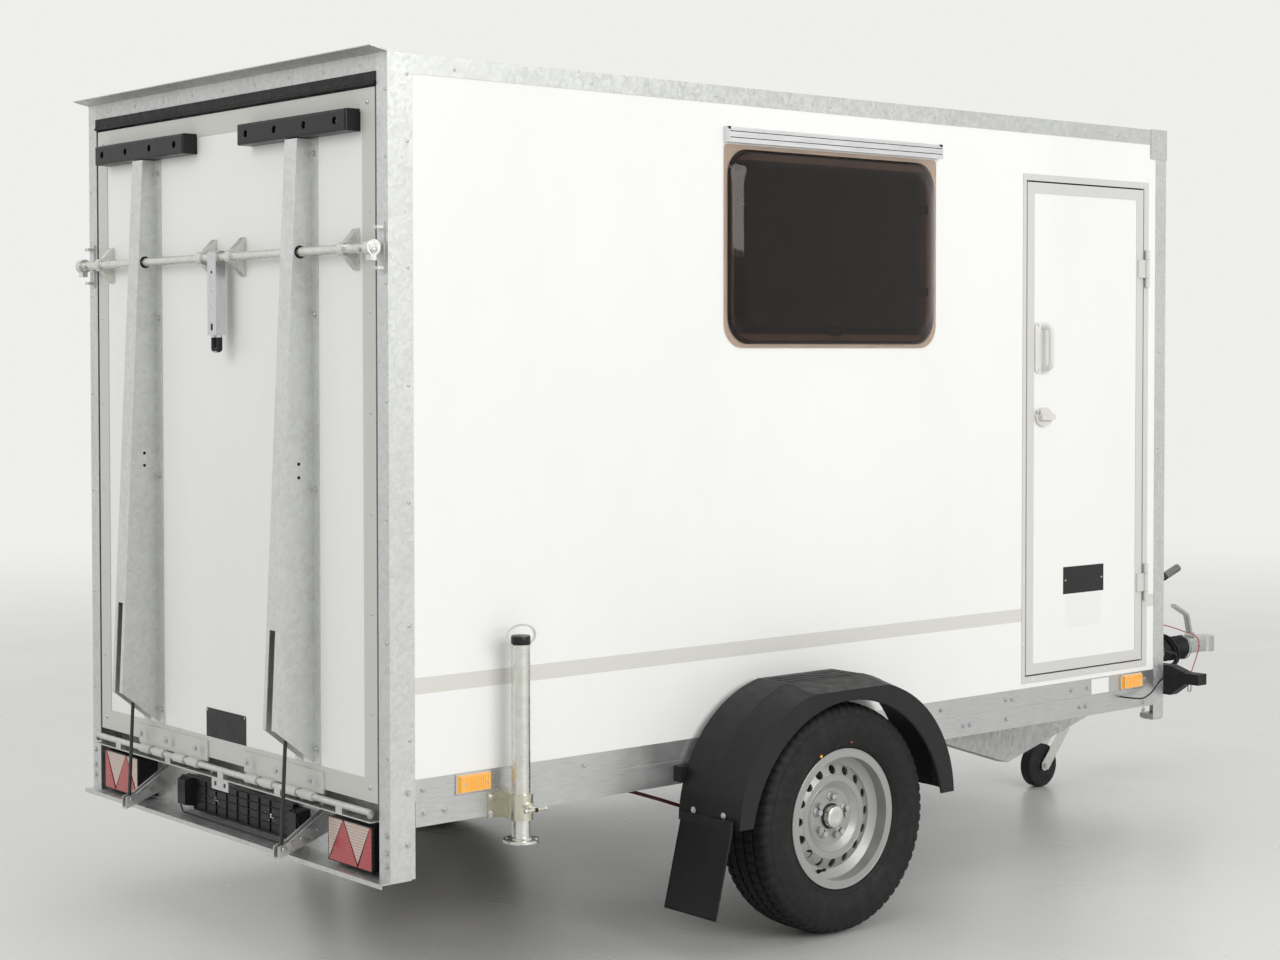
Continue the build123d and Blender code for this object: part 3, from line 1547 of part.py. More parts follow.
# Coupling head: a draw tube, a pressed housing over a ball socket, and its lever
with BuildPart() as coupling_head:
    with BuildSketch(along_x(rear_x + overrun_front)):
        with Locations((0, coupling_height)):
            Circle(draw_tube_radius)
    extrude(amount=boot_front - overrun_front)
    with BuildSketch(along_x(rear_x + boot_front)):
        with Locations((0, (head_foot + head_top) / 2)):
            RectangleRounded(head_wide, head_top - head_foot, head_round)
    extrude(amount=ball_fore - boot_front)
    with BuildSketch(Plane.XY.offset(head_foot)):
        with Locations((ball_x, 0)):
            Circle(head_radius)
    extrude(amount=head_top - head_foot)
    with BuildSketch(Plane.XY.offset(head_foot)):
        with Locations((ball_x, 0)):
            Circle(ball_radius)
    extrude(amount=ball_height - head_foot, mode=Mode.SUBTRACT)
    with Locations((ball_x, 0, ball_height)):
        Sphere(ball_radius, mode=Mode.SUBTRACT)
    with BuildSketch(along_y(lever_boss)):
        with Locations((rear_x + lever_foot[0], lever_foot[1])):
            Circle(lever_boss)
    extrude(amount=2 * lever_boss)
    with BuildLine() as lever_path:
        FilletPolyline(
            (rear_x + lever_foot[0], 0, lever_foot[1]),
            (rear_x + lever_knee[0], 0, lever_knee[1]),
            (rear_x + lever_tip[0], 0, lever_tip[1]),
            radius=lever_bend,
        )
    with BuildSketch(Plane(origin=lever_path.line @ 0, x_dir=(0, 1, 0), z_dir=lever_path.line % 0)):
        RectangleRounded(lever_wide, lever_thick, lever_thick / 3)
    sweep(path=lever_path.line)
coupling_head.part.label = "coupling_head"
export_step(coupling_head.part, "parts/coupling_head.step")

# Handbrake: two cheeks on the overrun plate that hold a long lever with a grip
brake_run = hypot(brake_tip[0] - brake_pivot[0], brake_tip[1] - brake_pivot[1])
brake_way = ((brake_tip[0] - brake_pivot[0]) / brake_run, 0, (brake_tip[1] - brake_pivot[1]) / brake_run)
brake_plane = Plane(origin=(rear_x + brake_pivot[0], 0, brake_pivot[1]), x_dir=(0, 1, 0), z_dir=brake_way)
with BuildPart() as handbrake:
    for cheek_y in (brake_cheek_gap + brake_cheek, -brake_cheek_gap):
        with BuildSketch(along_y(cheek_y)):
            rect_between(
                (rear_x + brake_bracket[0], draw_front_high + overrun_plate_sheet),
                (rear_x + brake_bracket[1], brake_pivot[1]),
            )
            with Locations((rear_x + brake_pivot[0], brake_pivot[1])):
                Circle((brake_bracket[1] - brake_bracket[0]) / 2)
        extrude(amount=brake_cheek)
    with BuildSketch(along_y(brake_cheek_gap)):
        with Locations((rear_x + brake_pivot[0], brake_pivot[1])):
            Circle(brake_grip_radius)
    extrude(amount=2 * brake_cheek_gap)
    with BuildSketch(brake_plane):
        Circle(brake_rod_radius)
    extrude(amount=brake_run)
    with BuildSketch(brake_plane.offset(brake_run - brake_grip)):
        Circle(brake_grip_radius)
    extrude(amount=brake_grip)
handbrake.part.label = "handbrake"
export_step(handbrake.part, "parts/handbrake.step")

# Jockey wheel: a tube held by a cross plate, a leg that slides in it, a fork and a wheel
with BuildPart() as jockey_tube:
    with BuildSketch(Plane.XY.offset(draw_front_high)):
        rect_between(
            (jockey_x - jockey_plate_half, -jockey_plate_reach),
            (jockey_x + jockey_plate_half, jockey_plate_reach),
        )
    extrude(amount=overrun_plate_sheet)
    with BuildSketch(Plane.XY.offset(jockey_tube_foot)):
        with Locations((jockey_x, 0)):
            Circle(jockey_tube_radius)
    extrude(amount=jockey_tube_head - jockey_tube_foot)
    with BuildSketch(Plane.XY.offset(jockey_tube_foot)):
        with Locations((jockey_x, 0)):
            Circle(jockey_bore)
    extrude(amount=jockey_tube_head - jockey_tube_cap - jockey_tube_foot, mode=Mode.SUBTRACT)
    with BuildSketch(Plane.XY.offset(jockey_tube_head)):
        with Locations((jockey_x, 0)):
            Circle(crank_grip_radius)
    extrude(amount=crank_rise)
    with BuildSketch(Plane.XY.offset(jockey_tube_head + crank_rise)):
        rect_between(
            (jockey_x - crank_grip_radius, -crank_grip_radius), (jockey_x + crank_reach, crank_grip_radius)
        )
    extrude(amount=crank_rod)
    with BuildSketch(Plane.XY.offset(jockey_tube_head + crank_rise)):
        with Locations((jockey_x + crank_reach - crank_grip_radius, 0)):
            Circle(crank_grip_radius)
    extrude(amount=crank_grip)
jockey_tube.part.label = "jockey_tube"
export_step(jockey_tube.part, "parts/jockey_tube.step")

with BuildPart() as jockey_leg:
    with BuildSketch(Plane.XY.offset(jockey_leg_foot)):
        with Locations((jockey_x, 0)):
            Circle(jockey_leg_radius)
    extrude(amount=jockey_leg_tall)
    with BuildSketch(Plane.XY.offset(jockey_leg_foot)):
        with Locations((jockey_x, 0)):
            Circle(jockey_leg_bore + pin_fit)
    extrude(amount=jockey_leg_bore_deep, mode=Mode.SUBTRACT)
jockey_leg.part.label = "jockey_leg"
export_step(jockey_leg.part, "parts/jockey_leg.step")

fork_top = jockey_leg_foot - jockey_swivel_gap
with BuildPart() as jockey_fork:
    with BuildSketch(Plane.XY.offset(fork_top)):
        with Locations((jockey_x, 0)):
            Circle(jockey_leg_bore)
    extrude(amount=jockey_leg_bore_deep)
    with BuildSketch(Plane.XY.offset(fork_top)):
        rect_between(
            (jockey_x - fork_plate_radius, -(fork_cheek_gap + fork_cheek)),
            (jockey_x + fork_plate_radius, fork_cheek_gap + fork_cheek),
        )
    extrude(amount=-fork_plate)
    for cheek_y in (fork_cheek_gap + fork_cheek, -fork_cheek_gap):
        with BuildSketch(along_y(cheek_y)):
            outline(
                [
                    (jockey_x - fork_plate_radius, fork_top),
                    (jockey_x + fork_plate_radius, fork_top),
                    (jockey_x + fork_plate_radius, fork_top - fork_plate),
                    (jockey_wheel_x + fork_cheek_half, jockey_radius - fork_cheek_half),
                    (jockey_wheel_x - fork_cheek_half, jockey_radius + fork_cheek_half / 2),
                ]
            )
            with Locations((jockey_wheel_x, jockey_radius)):
                Circle(fork_cheek_half)
        extrude(amount=fork_cheek)
    with BuildSketch(along_y(fork_cheek_gap + fork_cheek)):
        with Locations((jockey_wheel_x, jockey_radius)):
            Circle(fork_axle_radius)
    extrude(amount=2 * (fork_cheek_gap + fork_cheek))
jockey_fork.part.label = "jockey_fork"
export_step(jockey_fork.part, "parts/jockey_fork.step")

with BuildPart() as jockey_wheel:
    with BuildSketch(along_y(jockey_half)):
        with Locations((jockey_wheel_x, jockey_radius)):
            Circle(jockey_radius)
    extrude(amount=2 * jockey_half)
    fillet(jockey_wheel.edges().filter_by(GeomType.CIRCLE), radius=jockey_round)
    with BuildSketch(along_y(jockey_half)):
        with Locations((jockey_wheel_x, jockey_radius)):
            Circle(fork_axle_radius + pin_fit)
    extrude(amount=2 * jockey_half, mode=Mode.SUBTRACT)
jockey_wheel.part.label = "jockey_wheel"
export_step(jockey_wheel.part, "parts/jockey_wheel.step")

# Steadies: clamps on the side rails, and a leg with a foot disc and a ring handle in each
clamp_neck_y = steady_y - clamp_neck / 2
with BuildPart() as steady_clamps:
    with BuildSketch(along_y(-rail_low_y)):
        rect_between((rear_x + clamp_fore[0], clamp_foot), (rear_x + clamp_fore[1], clamp_head))
    extrude(amount=clamp_plate)
    with BuildSketch(Plane.XY.offset(clamp_foot)):
        with Locations((rear_x + steady_fore, -steady_y)):
            Circle(clamp_radius)
        rect_between(
            (rear_x + steady_fore - clamp_neck / 2, -clamp_neck_y),
            (rear_x + steady_fore + clamp_neck / 2, -rail_low_y),
        )
    extrude(amount=clamp_head - clamp_foot)
    with BuildSketch(Plane.XY.offset(clamp_foot)):
        with Locations((rear_x + steady_fore, -steady_y)):
            Circle(steady_radius + curve_gap)
    extrude(amount=clamp_head - clamp_foot, mode=Mode.SUBTRACT)
    with BuildSketch(along_y(-(steady_y + clamp_radius - hinge_leaf))):
        with Locations((rear_x + steady_fore, (clamp_foot + clamp_head) / 2)):
            Circle(screw_radius)
    extrude(amount=screw_out)
    with BuildSketch(along_x(rear_x + steady_fore - screw_bar)):
        with Locations(
            (-(steady_y + clamp_radius - hinge_leaf + screw_out), (clamp_foot + clamp_head) / 2)
        ):
            Circle(screw_bar_radius)
    extrude(amount=2 * screw_bar)
    mirror(about=Plane.XZ)
steady_clamps.part.label = "steady_clamps"
export_step(steady_clamps.part, "parts/steady_clamps.step")

for side, sign in wheel_sides:
    with BuildPart() as steady_leg:
        with BuildSketch(Plane.XY.offset(steady_foot)):
            with Locations((rear_x + steady_fore, sign * steady_y)):
                Circle(steady_radius)
        extrude(amount=steady_head - steady_foot)
        with BuildSketch(Plane.XY.offset(steady_foot)):
            with Locations((rear_x + steady_fore, sign * steady_y)):
                Circle(steady_disc)
        extrude(amount=steady_disc_tall)
        with BuildSketch(along_y(sign * steady_y + steady_ring_rod)):
            with Locations((rear_x + steady_fore, steady_head)):
                Ellipse(steady_ring_wide / 2, steady_ring_tall / 2)
                Ellipse(
                    steady_ring_wide / 2 - 2 * steady_ring_rod,
                    steady_ring_tall / 2 - 2 * steady_ring_rod,
                    mode=Mode.SUBTRACT,
                )
        extrude(amount=2 * steady_ring_rod)
    steady_leg.part.label = f"steady_leg_{side}"
    export_step(steady_leg.part, f"parts/steady_leg_{side}.step")

# Side markers: small lamps on the rails' upper strips, two on each side
with BuildPart() as side_markers:
    with BuildSketch(along_y(-outer_side)):
        with Locations(*[(rear_x + fore, marker_foot + marker_tall / 2) for fore in marker_fores]):
            Rectangle(marker_length, marker_tall)
    extrude(amount=marker_deep, taper=marker_taper)
    mirror(about=Plane.XZ)
side_markers.part.label = "side_markers"
export_step(side_markers.part, "parts/side_markers.step")

# Front lamps: rubber arms on the front posts, each with a lamp at its outer end
with BuildPart() as front_lamps:
    with BuildSketch(along_x(front_x)):
        outline(
            [
                (-lamp_arm_in, lamp_arm_root[0]),
                (-lamp_arm_in, lamp_arm_root[1]),
                (-lamp_arm_knee, lamp_arm_root[1]),
                (-lamp_arm_out, lamp_arm_tip[1]),
                (-lamp_arm_out, lamp_arm_tip[0]),
                (-lamp_arm_knee, lamp_arm_root[0]),
            ]
        )
    extrude(amount=lamp_arm_fore)
    with BuildSketch(along_x(front_x - (lamp_head_fore - lamp_arm_fore) / 2)):
        rect_between((-lamp_head_out, lamp_arm_tip[0]), (-lamp_arm_out, lamp_arm_tip[1]))
    extrude(amount=lamp_head_fore)
    mirror(about=Plane.XZ)
front_lamps.part.label = "front_lamps"
export_step(front_lamps.part, "parts/front_lamps.step")

# Trailer lead: it runs along the drawbar, is wound round the bellows and ends in its plug
with BuildPart() as lead_tube:
    for route in (lead_route, lead_tail):
        with BuildLine() as lead_path:
            FilletPolyline(*from_fore(route), radius=bend_radii(route))
        with BuildSketch(Plane(origin=lead_path.line @ 0, z_dir=lead_path.line % 0)):
            Circle(lead_radius)
        sweep(path=lead_path.line)
        print("lead bends", [round(radius) for radius in bend_radii(route)])
lead_tube.part.label = "lead_tube"
export_step(lead_tube.part, "parts/lead_tube.step")

coil_plane = Plane(
    origin=(rear_x + coil_centre[0], 0, coil_centre[1]), x_dir=(0, 1, 0), z_dir=(1, 0, 0)
).rotated((-coil_lean, 0, 0))
with BuildPart() as lead_coil:
    with BuildSketch(coil_plane.offset(-coil_wide / 2)):
        Circle(coil_outside)
        Circle(coil_inside, mode=Mode.SUBTRACT)
    extrude(amount=coil_wide)
lead_coil.part.label = "lead_coil"
export_step(lead_coil.part, "parts/lead_coil.step")

plug_x, plug_y, plug_height = from_fore(lead_tail)[-1]
plug_x = plug_x - plug_gap
with BuildPart() as lead_plug:
    with BuildSketch(Plane(origin=(plug_x, plug_y, plug_height), x_dir=(0, 1, 0), z_dir=(-1, 0, 0))):
        Circle(plug_sleeve_radius)
    extrude(amount=plug_sleeve)
    with BuildSketch(faces().sort_by(Axis.X)[0]):
        Circle(plug_radius)
    extrude(amount=plug_body)
    with BuildSketch(faces().sort_by(Axis.X)[0]):
        Circle(plug_nose_radius)
    extrude(amount=plug_nose)
lead_plug.part.label = "lead_plug"
export_step(lead_plug.part, "parts/lead_plug.step")

# Breakaway cable: from the handbrake over the coupling's lever, with a snap hook on its end
with BuildPart() as breakaway_cable:
    with BuildLine() as breakaway_path:
        FilletPolyline(*from_fore(breakaway_route), radius=bend_radii(breakaway_route))
    with BuildSketch(Plane(origin=breakaway_path.line @ 0, z_dir=breakaway_path.line % 0)):
        Circle(breakaway_radius)
    sweep(path=breakaway_path.line)
    print("breakaway bends", [round(radius) for radius in bend_radii(breakaway_route)])
breakaway_cable.part.label = "breakaway_cable"
export_step(breakaway_cable.part, "parts/breakaway_cable.step")

hook_x, hook_y, hook_top = from_fore(breakaway_route)[-1]
hook_middle = hook_top - 2 * curve_gap - hook_tall / 2
with BuildPart() as breakaway_hook:
    with BuildSketch(along_y(hook_y + hook_rod / 2)):
        with Locations((hook_x, hook_middle)):
            SlotOverall(hook_tall, hook_wide, rotation=90)
            SlotOverall(
                hook_tall - 2 * hook_rod, hook_wide - 2 * hook_rod, rotation=90, mode=Mode.SUBTRACT
            )
    extrude(amount=hook_rod)
breakaway_hook.part.label = "breakaway_hook"
export_step(breakaway_hook.part, "parts/breakaway_hook.step")

# Brake cables: from each brake's back plate up to a cross member, held at both ends
with BuildPart() as brake_cables:
    with BuildLine() as brake_path:
        FilletPolyline(*from_fore(brake_cable_route), radius=bend_radii(brake_cable_route))
    with BuildSketch(Plane(origin=brake_path.line @ 0, z_dir=brake_path.line % 0)):
        Circle(brake_cable_radius)
    sweep(path=brake_path.line)
    mirror(about=Plane.XZ)
    print("brake cable bends", [round(radius) for radius in bend_radii(brake_cable_route)])
brake_cables.part.label = "brake_cables"
export_step(brake_cables.part, "parts/brake_cables.step")

# Marker leads: from a hole in each side rail round the front post to the front lamp's arm
with BuildPart() as marker_leads:
    with BuildLine() as marker_path:
        FilletPolyline(*from_fore(marker_lead_route), radius=bend_radii(marker_lead_route))
    with BuildSketch(Plane(origin=marker_path.line @ 0, z_dir=marker_path.line % 0)):
        Circle(marker_lead_radius)
    sweep(path=marker_path.line)
    mirror(about=Plane.XZ)
    print("marker lead bends", [round(radius) for radius in bend_radii(marker_lead_route)])
marker_leads.part.label = "marker_leads"
export_step(marker_leads.part, "parts/marker_leads.step")
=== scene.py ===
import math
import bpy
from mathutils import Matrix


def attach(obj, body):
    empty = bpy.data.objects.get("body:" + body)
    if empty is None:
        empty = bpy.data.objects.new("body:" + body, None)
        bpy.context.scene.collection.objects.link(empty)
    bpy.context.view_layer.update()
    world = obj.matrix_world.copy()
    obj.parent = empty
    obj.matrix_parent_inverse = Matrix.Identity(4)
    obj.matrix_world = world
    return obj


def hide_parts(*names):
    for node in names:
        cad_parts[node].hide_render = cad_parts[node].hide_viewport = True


bl_info = {
    "name": "Cargo trailer looks",
    "version": (1, 0, 0),
    "blender": (4, 5, 0),
    "location": "3D View > Sidebar > Trailer",
    "description": "Finishes, fittings and studio for a box trailer",
    "category": "Object",
}

import bmesh
import bpy
from mathutils import Matrix, Vector

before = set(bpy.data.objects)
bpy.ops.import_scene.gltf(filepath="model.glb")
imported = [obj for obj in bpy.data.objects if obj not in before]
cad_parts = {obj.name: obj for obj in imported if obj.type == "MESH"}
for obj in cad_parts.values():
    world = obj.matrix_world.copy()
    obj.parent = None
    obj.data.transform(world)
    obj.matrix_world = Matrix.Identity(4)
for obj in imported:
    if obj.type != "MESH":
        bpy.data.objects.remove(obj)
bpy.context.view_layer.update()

# Lengths are in metres. "Fore" places are measured forward from the body's rear face.
REAR = -2.186
FRONT_FACE = 3.101
SKIN = 0.8005
SIDE = 0.8025
AXLE = REAR + 1.357
TYRE_RADIUS = 0.3235
TYRE_CENTRE = SIDE + 0.220 - 0.081
FACE_ACROSS = 0.030
RAIL_MIDDLE = 0.418
BAR_HEIGHT = 1.872
STEADY = (0.356, 0.8645)
CLAMP_HEIGHT = 0.467
JOCKEY = 3.540
MARKER_HEIGHT = 0.532
X = Vector((1, 0, 0))
Y = Vector((0, 1, 0))
Z = Vector((0, 0, 1))
SIDES = {"right": -1, "left": 1}
RIVET = (0.0045, 0.0022)


# Shapes


def spot(fore, y, z):
    return Vector((REAR + fore, y, z))


def ring_points(centre, radius, steps, first=X, second=Z):
    """Points of a circle about a centre, in the plane of two directions."""
    turns = [2 * math.pi * i / steps for i in range(steps)]
    return [centre + first * (radius * math.cos(t)) + second * (radius * math.sin(t)) for t in turns]


def circle_through(a, b, c):
    d = 2 * (a.x * (b.y - c.y) + b.x * (c.y - a.y) + c.x * (a.y - b.y))
    squares = [(p.length_squared, q, r) for p, q, r in ((a, b, c), (b, c, a), (c, a, b))]
    x = sum(square * (q.y - r.y) for square, q, r in squares) / d
    y = sum(square * (r.x - q.x) for square, q, r in squares) / d
    centre = Vector((x, y))
    return centre, (a - centre).length


def arc_through(a, b, c, steps):
    """Points of the arc from a to c that passes through b."""
    centre, radius = circle_through(Vector(a), Vector(b), Vector(c))
    start, end = (math.atan2(p[1] - centre.y, p[0] - centre.x) for p in (a, c))
    turns = [start + (end - start) * i / steps for i in range(steps + 1)]
    return [(centre.x + radius * math.cos(t), centre.y + radius * math.sin(t)) for t in turns]


def wheel_spot(s, radius, angle, across):
    """Place on a road wheel: s is its side, and across runs outwards from the tyre's middle."""
    centre = Vector((AXLE, s * (TYRE_CENTRE + across), TYRE_RADIUS))
    return centre + X * (radius * math.cos(angle)) + Z * (radius * math.sin(angle))


def add_block(bm, low, high):
    """Box between two corners, given in any order."""
    a = Vector((min(low[i], high[i]) for i in range(3)))
    b = Vector((max(low[i], high[i]) for i in range(3)))
    corners = [
        bm.verts.new((a.x if i & 1 == 0 else b.x, a.y if i & 2 == 0 else b.y, a.z if i & 4 == 0 else b.z))
        for i in range(8)
    ]
    for face in ((0, 2, 3, 1), (4, 5, 7, 6), (0, 1, 5, 4), (2, 6, 7, 3), (0, 4, 6, 2), (1, 3, 7, 5)):
        bm.faces.new([corners[i] for i in face])


def add_loops(bm, loops, close=False, cap_start=False, cap_end=False):
    """Skin over rings of points that all have the same number of points."""
    rings = [[bm.verts.new(p) for p in ring] for ring in loops]
    pairs = list(zip(rings, rings[1:]))
    if close:
        pairs.append((rings[-1], rings[0]))
    for a, b in pairs:
        for i in range(len(a)):
            j = (i + 1) % len(a)
            bm.faces.new((a[i], a[j], b[j], b[i]))
    if cap_start:
        bm.faces.new(list(reversed(rings[0])))
    if cap_end:
        bm.faces.new(rings[-1])
    return rings


def side_axes(axis):
    axis = axis.normalized()
    first = axis.cross(Z if abs(axis.z) < 0.9 else X).normalized()
    return first, axis.cross(first)


def add_lathe(bm, profile, centre, axis, steps=24, turn=0.0):
    """Turned shape: profile holds (radius, distance along the axis) pairs, and its ends close where the radius is 0."""
    first, second = side_axes(axis)
    axis = axis.normalized()
    loops = []
    for radius, along in profile:
        r = max(radius, 1e-5)
        loops.append(
            [
                centre + axis * along
                + first * (r * math.cos(turn + 2 * math.pi * i / steps))
                + second * (r * math.sin(turn + 2 * math.pi * i / steps))
                for i in range(steps)
            ]
        )
    add_loops(bm, loops, cap_start=True, cap_end=True)


def add_rod(bm, start, end, radius, steps=16):
    """Straight rod with slightly rounded ends."""
    run = (end - start).length
    edge = min(radius * 0.25, run * 0.2)
    profile = [(radius - edge, 0), (radius, edge), (radius, run - edge), (radius - edge, run)]
    add_lathe(bm, profile, start, end - start, steps)


def add_tube(bm, path, radius, steps=12, close=False):
    """Round tube along points."""
    loops = []
    count = len(path)
    normal = None
    for i, p in enumerate(path):
        before = path[i - 1] if i or close else p
        after = path[(i + 1) % count] if i < count - 1 or close else p
        way = (after - before).normalized()
        if normal is None:
            normal = side_axes(way)[0]
        normal = (normal - way * normal.dot(way)).normalized()
        other = way.cross(normal)
        loops.append(
            [
                p + normal * (radius * math.cos(t)) + other * (radius * math.sin(t))
                for t in [2 * math.pi * k / steps for k in range(steps)]
            ]
        )
    add_loops(bm, loops, close=close, cap_start=not close, cap_end=not close)


def add_plate(bm, points, depth):
    """Flat plate: a closed outline of points moved along the depth vector."""
    add_loops(bm, [points, [p + depth for p in points]], cap_start=True, cap_end=True)


def add_hex_bolt(bm, place, way, size=0.0065, tall=0.005, washer=0.011):
    """Hexagon head on a washer."""
    add_lathe(bm, [(0, 0), (washer, 0), (washer, 0.0012), (0, 0.0014)], place, way, 20)
    turn = 0.3 + (place.x * 7 + place.z * 5) % 1.0
    profile = [(size, 0.0012), (size, 0.0012 + tall * 0.8), (size * 0.86, 0.0012 + tall), (0, 0.0013 + tall)]
    add_lathe(bm, profile, place, way, 6, turn)


def add_dome(bm, place, way, size=0.006, tall=0.003):
    """Round rivet or pan head with a small socket in it."""
    profile = [
        (size, 0),
        (size, tall * 0.3),
        (size * 0.8, tall * 0.78),
        (size * 0.42, tall),
        (size * 0.36, tall),
        (size * 0.32, tall * 0.5),
        (0, tall * 0.5),
    ]
    add_lathe(bm, profile, place, way, 18)


def rounded(width, height, radius, count=8, square_top=0.0):
    """Corner points of a rounded rectangle about (0, 0), from the lower right corner upwards."""
    points = []
    for cx, cy, start in ((1, -1, -90), (1, 1, 0), (-1, 1, 90), (-1, -1, 180)):
        r = square_top if square_top and cy > 0 else radius
        for i in range(count + 1):
            angle = math.radians(start + 90 * i / count)
            points.append(
                (cx * (width / 2 - r) + r * math.cos(angle), cy * (height / 2 - r) + r * math.sin(angle))
            )
    return points


def make_piece(name, bm, body, finish, bevel=0.0, smooth=40.0):
    """Turns a bmesh into a named object that rides on a body of the trailer."""
    bmesh.ops.remove_doubles(bm, verts=bm.verts, dist=1e-6)
    bmesh.ops.recalc_face_normals(bm, faces=bm.faces)
    mesh = bpy.data.meshes.new(name)
    bm.to_mesh(mesh)
    bm.free()
    piece = bpy.data.objects.new(name, mesh)
    bpy.context.scene.collection.objects.link(piece)
    mesh.materials.append(finish)
    for polygon in mesh.polygons:
        polygon.use_smooth = True
    mesh.set_sharp_from_angle(angle=math.radians(smooth))
    if bevel:
        edge = piece.modifiers.new("edges", "BEVEL")
        edge.width = bevel
        edge.segments = 2
        edge.limit_method = "ANGLE"
        edge.angle_limit = math.radians(40)
        edge.harden_normals = False
    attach(piece, body)
    return piece


# Finishes


def new_finish(name, colour, roughness, metallic=0.0, coat=0.0, specular=0.5):
    finish = bpy.data.materials.new(name)
    finish.use_nodes = True
    shader = finish.node_tree.nodes["Principled BSDF"]
    shader.inputs["Base Color"].default_value = (*colour, 1)
    shader.inputs["Roughness"].default_value = roughness
    shader.inputs["Metallic"].default_value = metallic
    shader.inputs["Coat Weight"].default_value = coat
    shader.inputs["Coat Roughness"].default_value = 0.15
    shader.inputs["Specular IOR Level"].default_value = specular
    finish.diffuse_color = (*colour, 1)
    return finish


def add_node(finish, kind, **values):
    node = finish.node_tree.nodes.new(kind)
    for key, value in values.items():
        if key in node.inputs:
            node.inputs[key].default_value = value
        else:
            setattr(node, key, value)
    return node


def join(finish, out, into):
    finish.node_tree.links.new(out, into)


def place_map(finish, scale=(1, 1, 1)):
    """Object coordinates, stretched along an axis where the scale is small."""
    source = add_node(finish, "ShaderNodeTexCoord")
    mapping = add_node(finish, "ShaderNodeMapping")
    mapping.inputs["Scale"].default_value = scale
    join(finish, source.outputs["Object"], mapping.inputs["Vector"])
    return mapping.outputs["Vector"]


def ramp_colours(finish, value, stops):
    node = add_node(finish, "ShaderNodeValToRGB")
    band = node.color_ramp
    while len(band.elements) < len(stops):
        band.elements.new(0.5)
    for element, (position, colour) in zip(band.elements, stops):
        element.position = position
        element.color = (*colour, 1)
    join(finish, value, node.inputs["Fac"])
    return node.outputs["Color"]


def shade(colour, share):
    return tuple(min(1.0, c * share) for c in colour)


def base(finish):
    return finish.node_tree.nodes["Principled BSDF"].inputs


def tint_by(finish, value, colour, *steps):
    """Base colour that follows a value: each step is a position and a share of the colour."""
    stops = [(position, shade(colour, share)) for position, share in steps]
    join(finish, ramp_colours(finish, value, stops), base(finish)["Base Color"])


def bump(finish, height, strength, distance):
    node = add_node(finish, "ShaderNodeBump")
    node.inputs["Strength"].default_value = strength
    node.inputs["Distance"].default_value = distance
    join(finish, height, node.inputs["Height"])
    earlier = base(finish)["Normal"]
    if earlier.is_linked:
        join(finish, earlier.links[0].from_socket, node.inputs["Normal"])
    join(finish, node.outputs["Normal"], earlier)


def noise(finish, scale, detail=3.0, rough=0.55, stretch=(1, 1, 1)):
    node = add_node(finish, "ShaderNodeTexNoise", Scale=scale, Detail=detail, Roughness=rough)
    join(finish, place_map(finish, stretch), node.inputs["Vector"])
    return node.outputs["Fac"]


def rough_map(finish, value, low, high):
    node = add_node(finish, "ShaderNodeMapRange")
    node.inputs["From Min"].default_value = 0.3
    node.inputs["From Max"].default_value = 0.7
    node.inputs["To Min"].default_value = low
    node.inputs["To Max"].default_value = high
    join(finish, value, node.inputs["Value"])
    join(finish, node.outputs["Result"], base(finish)["Roughness"])


def laminate(name, colour, roughness=0.34):
    """Smooth sheet of a sandwich panel: faint cloudiness, orange peel and rain streaks."""
    finish = new_finish(name, colour, roughness, coat=0.15)
    cloud = noise(finish, 2.1, 4.0, 0.6, (1, 1, 0.35))
    tint_by(finish, cloud, colour, (0.3, 0.975), (0.5, 1), (0.72, 1.012))
    rough_map(finish, noise(finish, 9.0, 3.0), roughness - 0.015, roughness + 0.025)
    bump(finish, noise(finish, 210.0, 2.0), 0.05, 0.0006)
    return finish


def spangled_zinc(name, colour, cells=42.0, metallic=0.82, roughness=0.42, contrast=0.16):
    """Hot-dip zinc: crystal patches of different grey, with fine scratches and a cloudy bloom."""
    finish = new_finish(name, colour, roughness, metallic)
    cell = add_node(finish, "ShaderNodeTexVoronoi", Scale=cells, Randomness=1.0)
    warp = noise(finish, 26.0, 2.0)
    shift = add_node(finish, "ShaderNodeMixRGB")
    shift.inputs[0].default_value = 0.035
    join(finish, place_map(finish), shift.inputs[1])
    join(finish, warp, shift.inputs[2])
    join(finish, shift.outputs["Color"], cell.inputs["Vector"])
    tone = add_node(finish, "ShaderNodeSeparateColor")
    join(finish, cell.outputs["Color"], tone.inputs["Color"])
    bloom = noise(finish, 5.5, 5.0, 0.62)
    blend = add_node(finish, "ShaderNodeMath", operation="MULTIPLY_ADD")
    join(finish, tone.outputs["Red"], blend.inputs[0])
    blend.inputs[1].default_value = 0.55
    join(finish, bloom, blend.inputs[2])
    tint_by(finish, blend.outputs["Value"], colour, (0.3, 1 - contrast), (0.72, 1), (1, 1 + contrast * 0.7))
    rough_map(finish, tone.outputs["Green"], roughness - 0.07, roughness + 0.1)
    bump(finish, noise(finish, 130.0, 3.0, 0.6, (1, 1, 0.2)), 0.12, 0.0004)
    return finish


def rolled_metal(name, colour, roughness=0.3, metallic=0.9, stretch=(0.04, 1, 1), grain=420.0):
    """Rolled or drawn metal with fine lines along its length."""
    finish = new_finish(name, colour, roughness, metallic)
    lines = noise(finish, grain, 4.0, 0.6, stretch)
    tint_by(finish, lines, colour, (0.32, 0.86), (0.5, 1), (0.7, 1.08))
    rough_map(finish, noise(finish, 12.0, 4.0), roughness - 0.06, roughness + 0.08)
    bump(finish, lines, 0.08, 0.0003)
    return finish


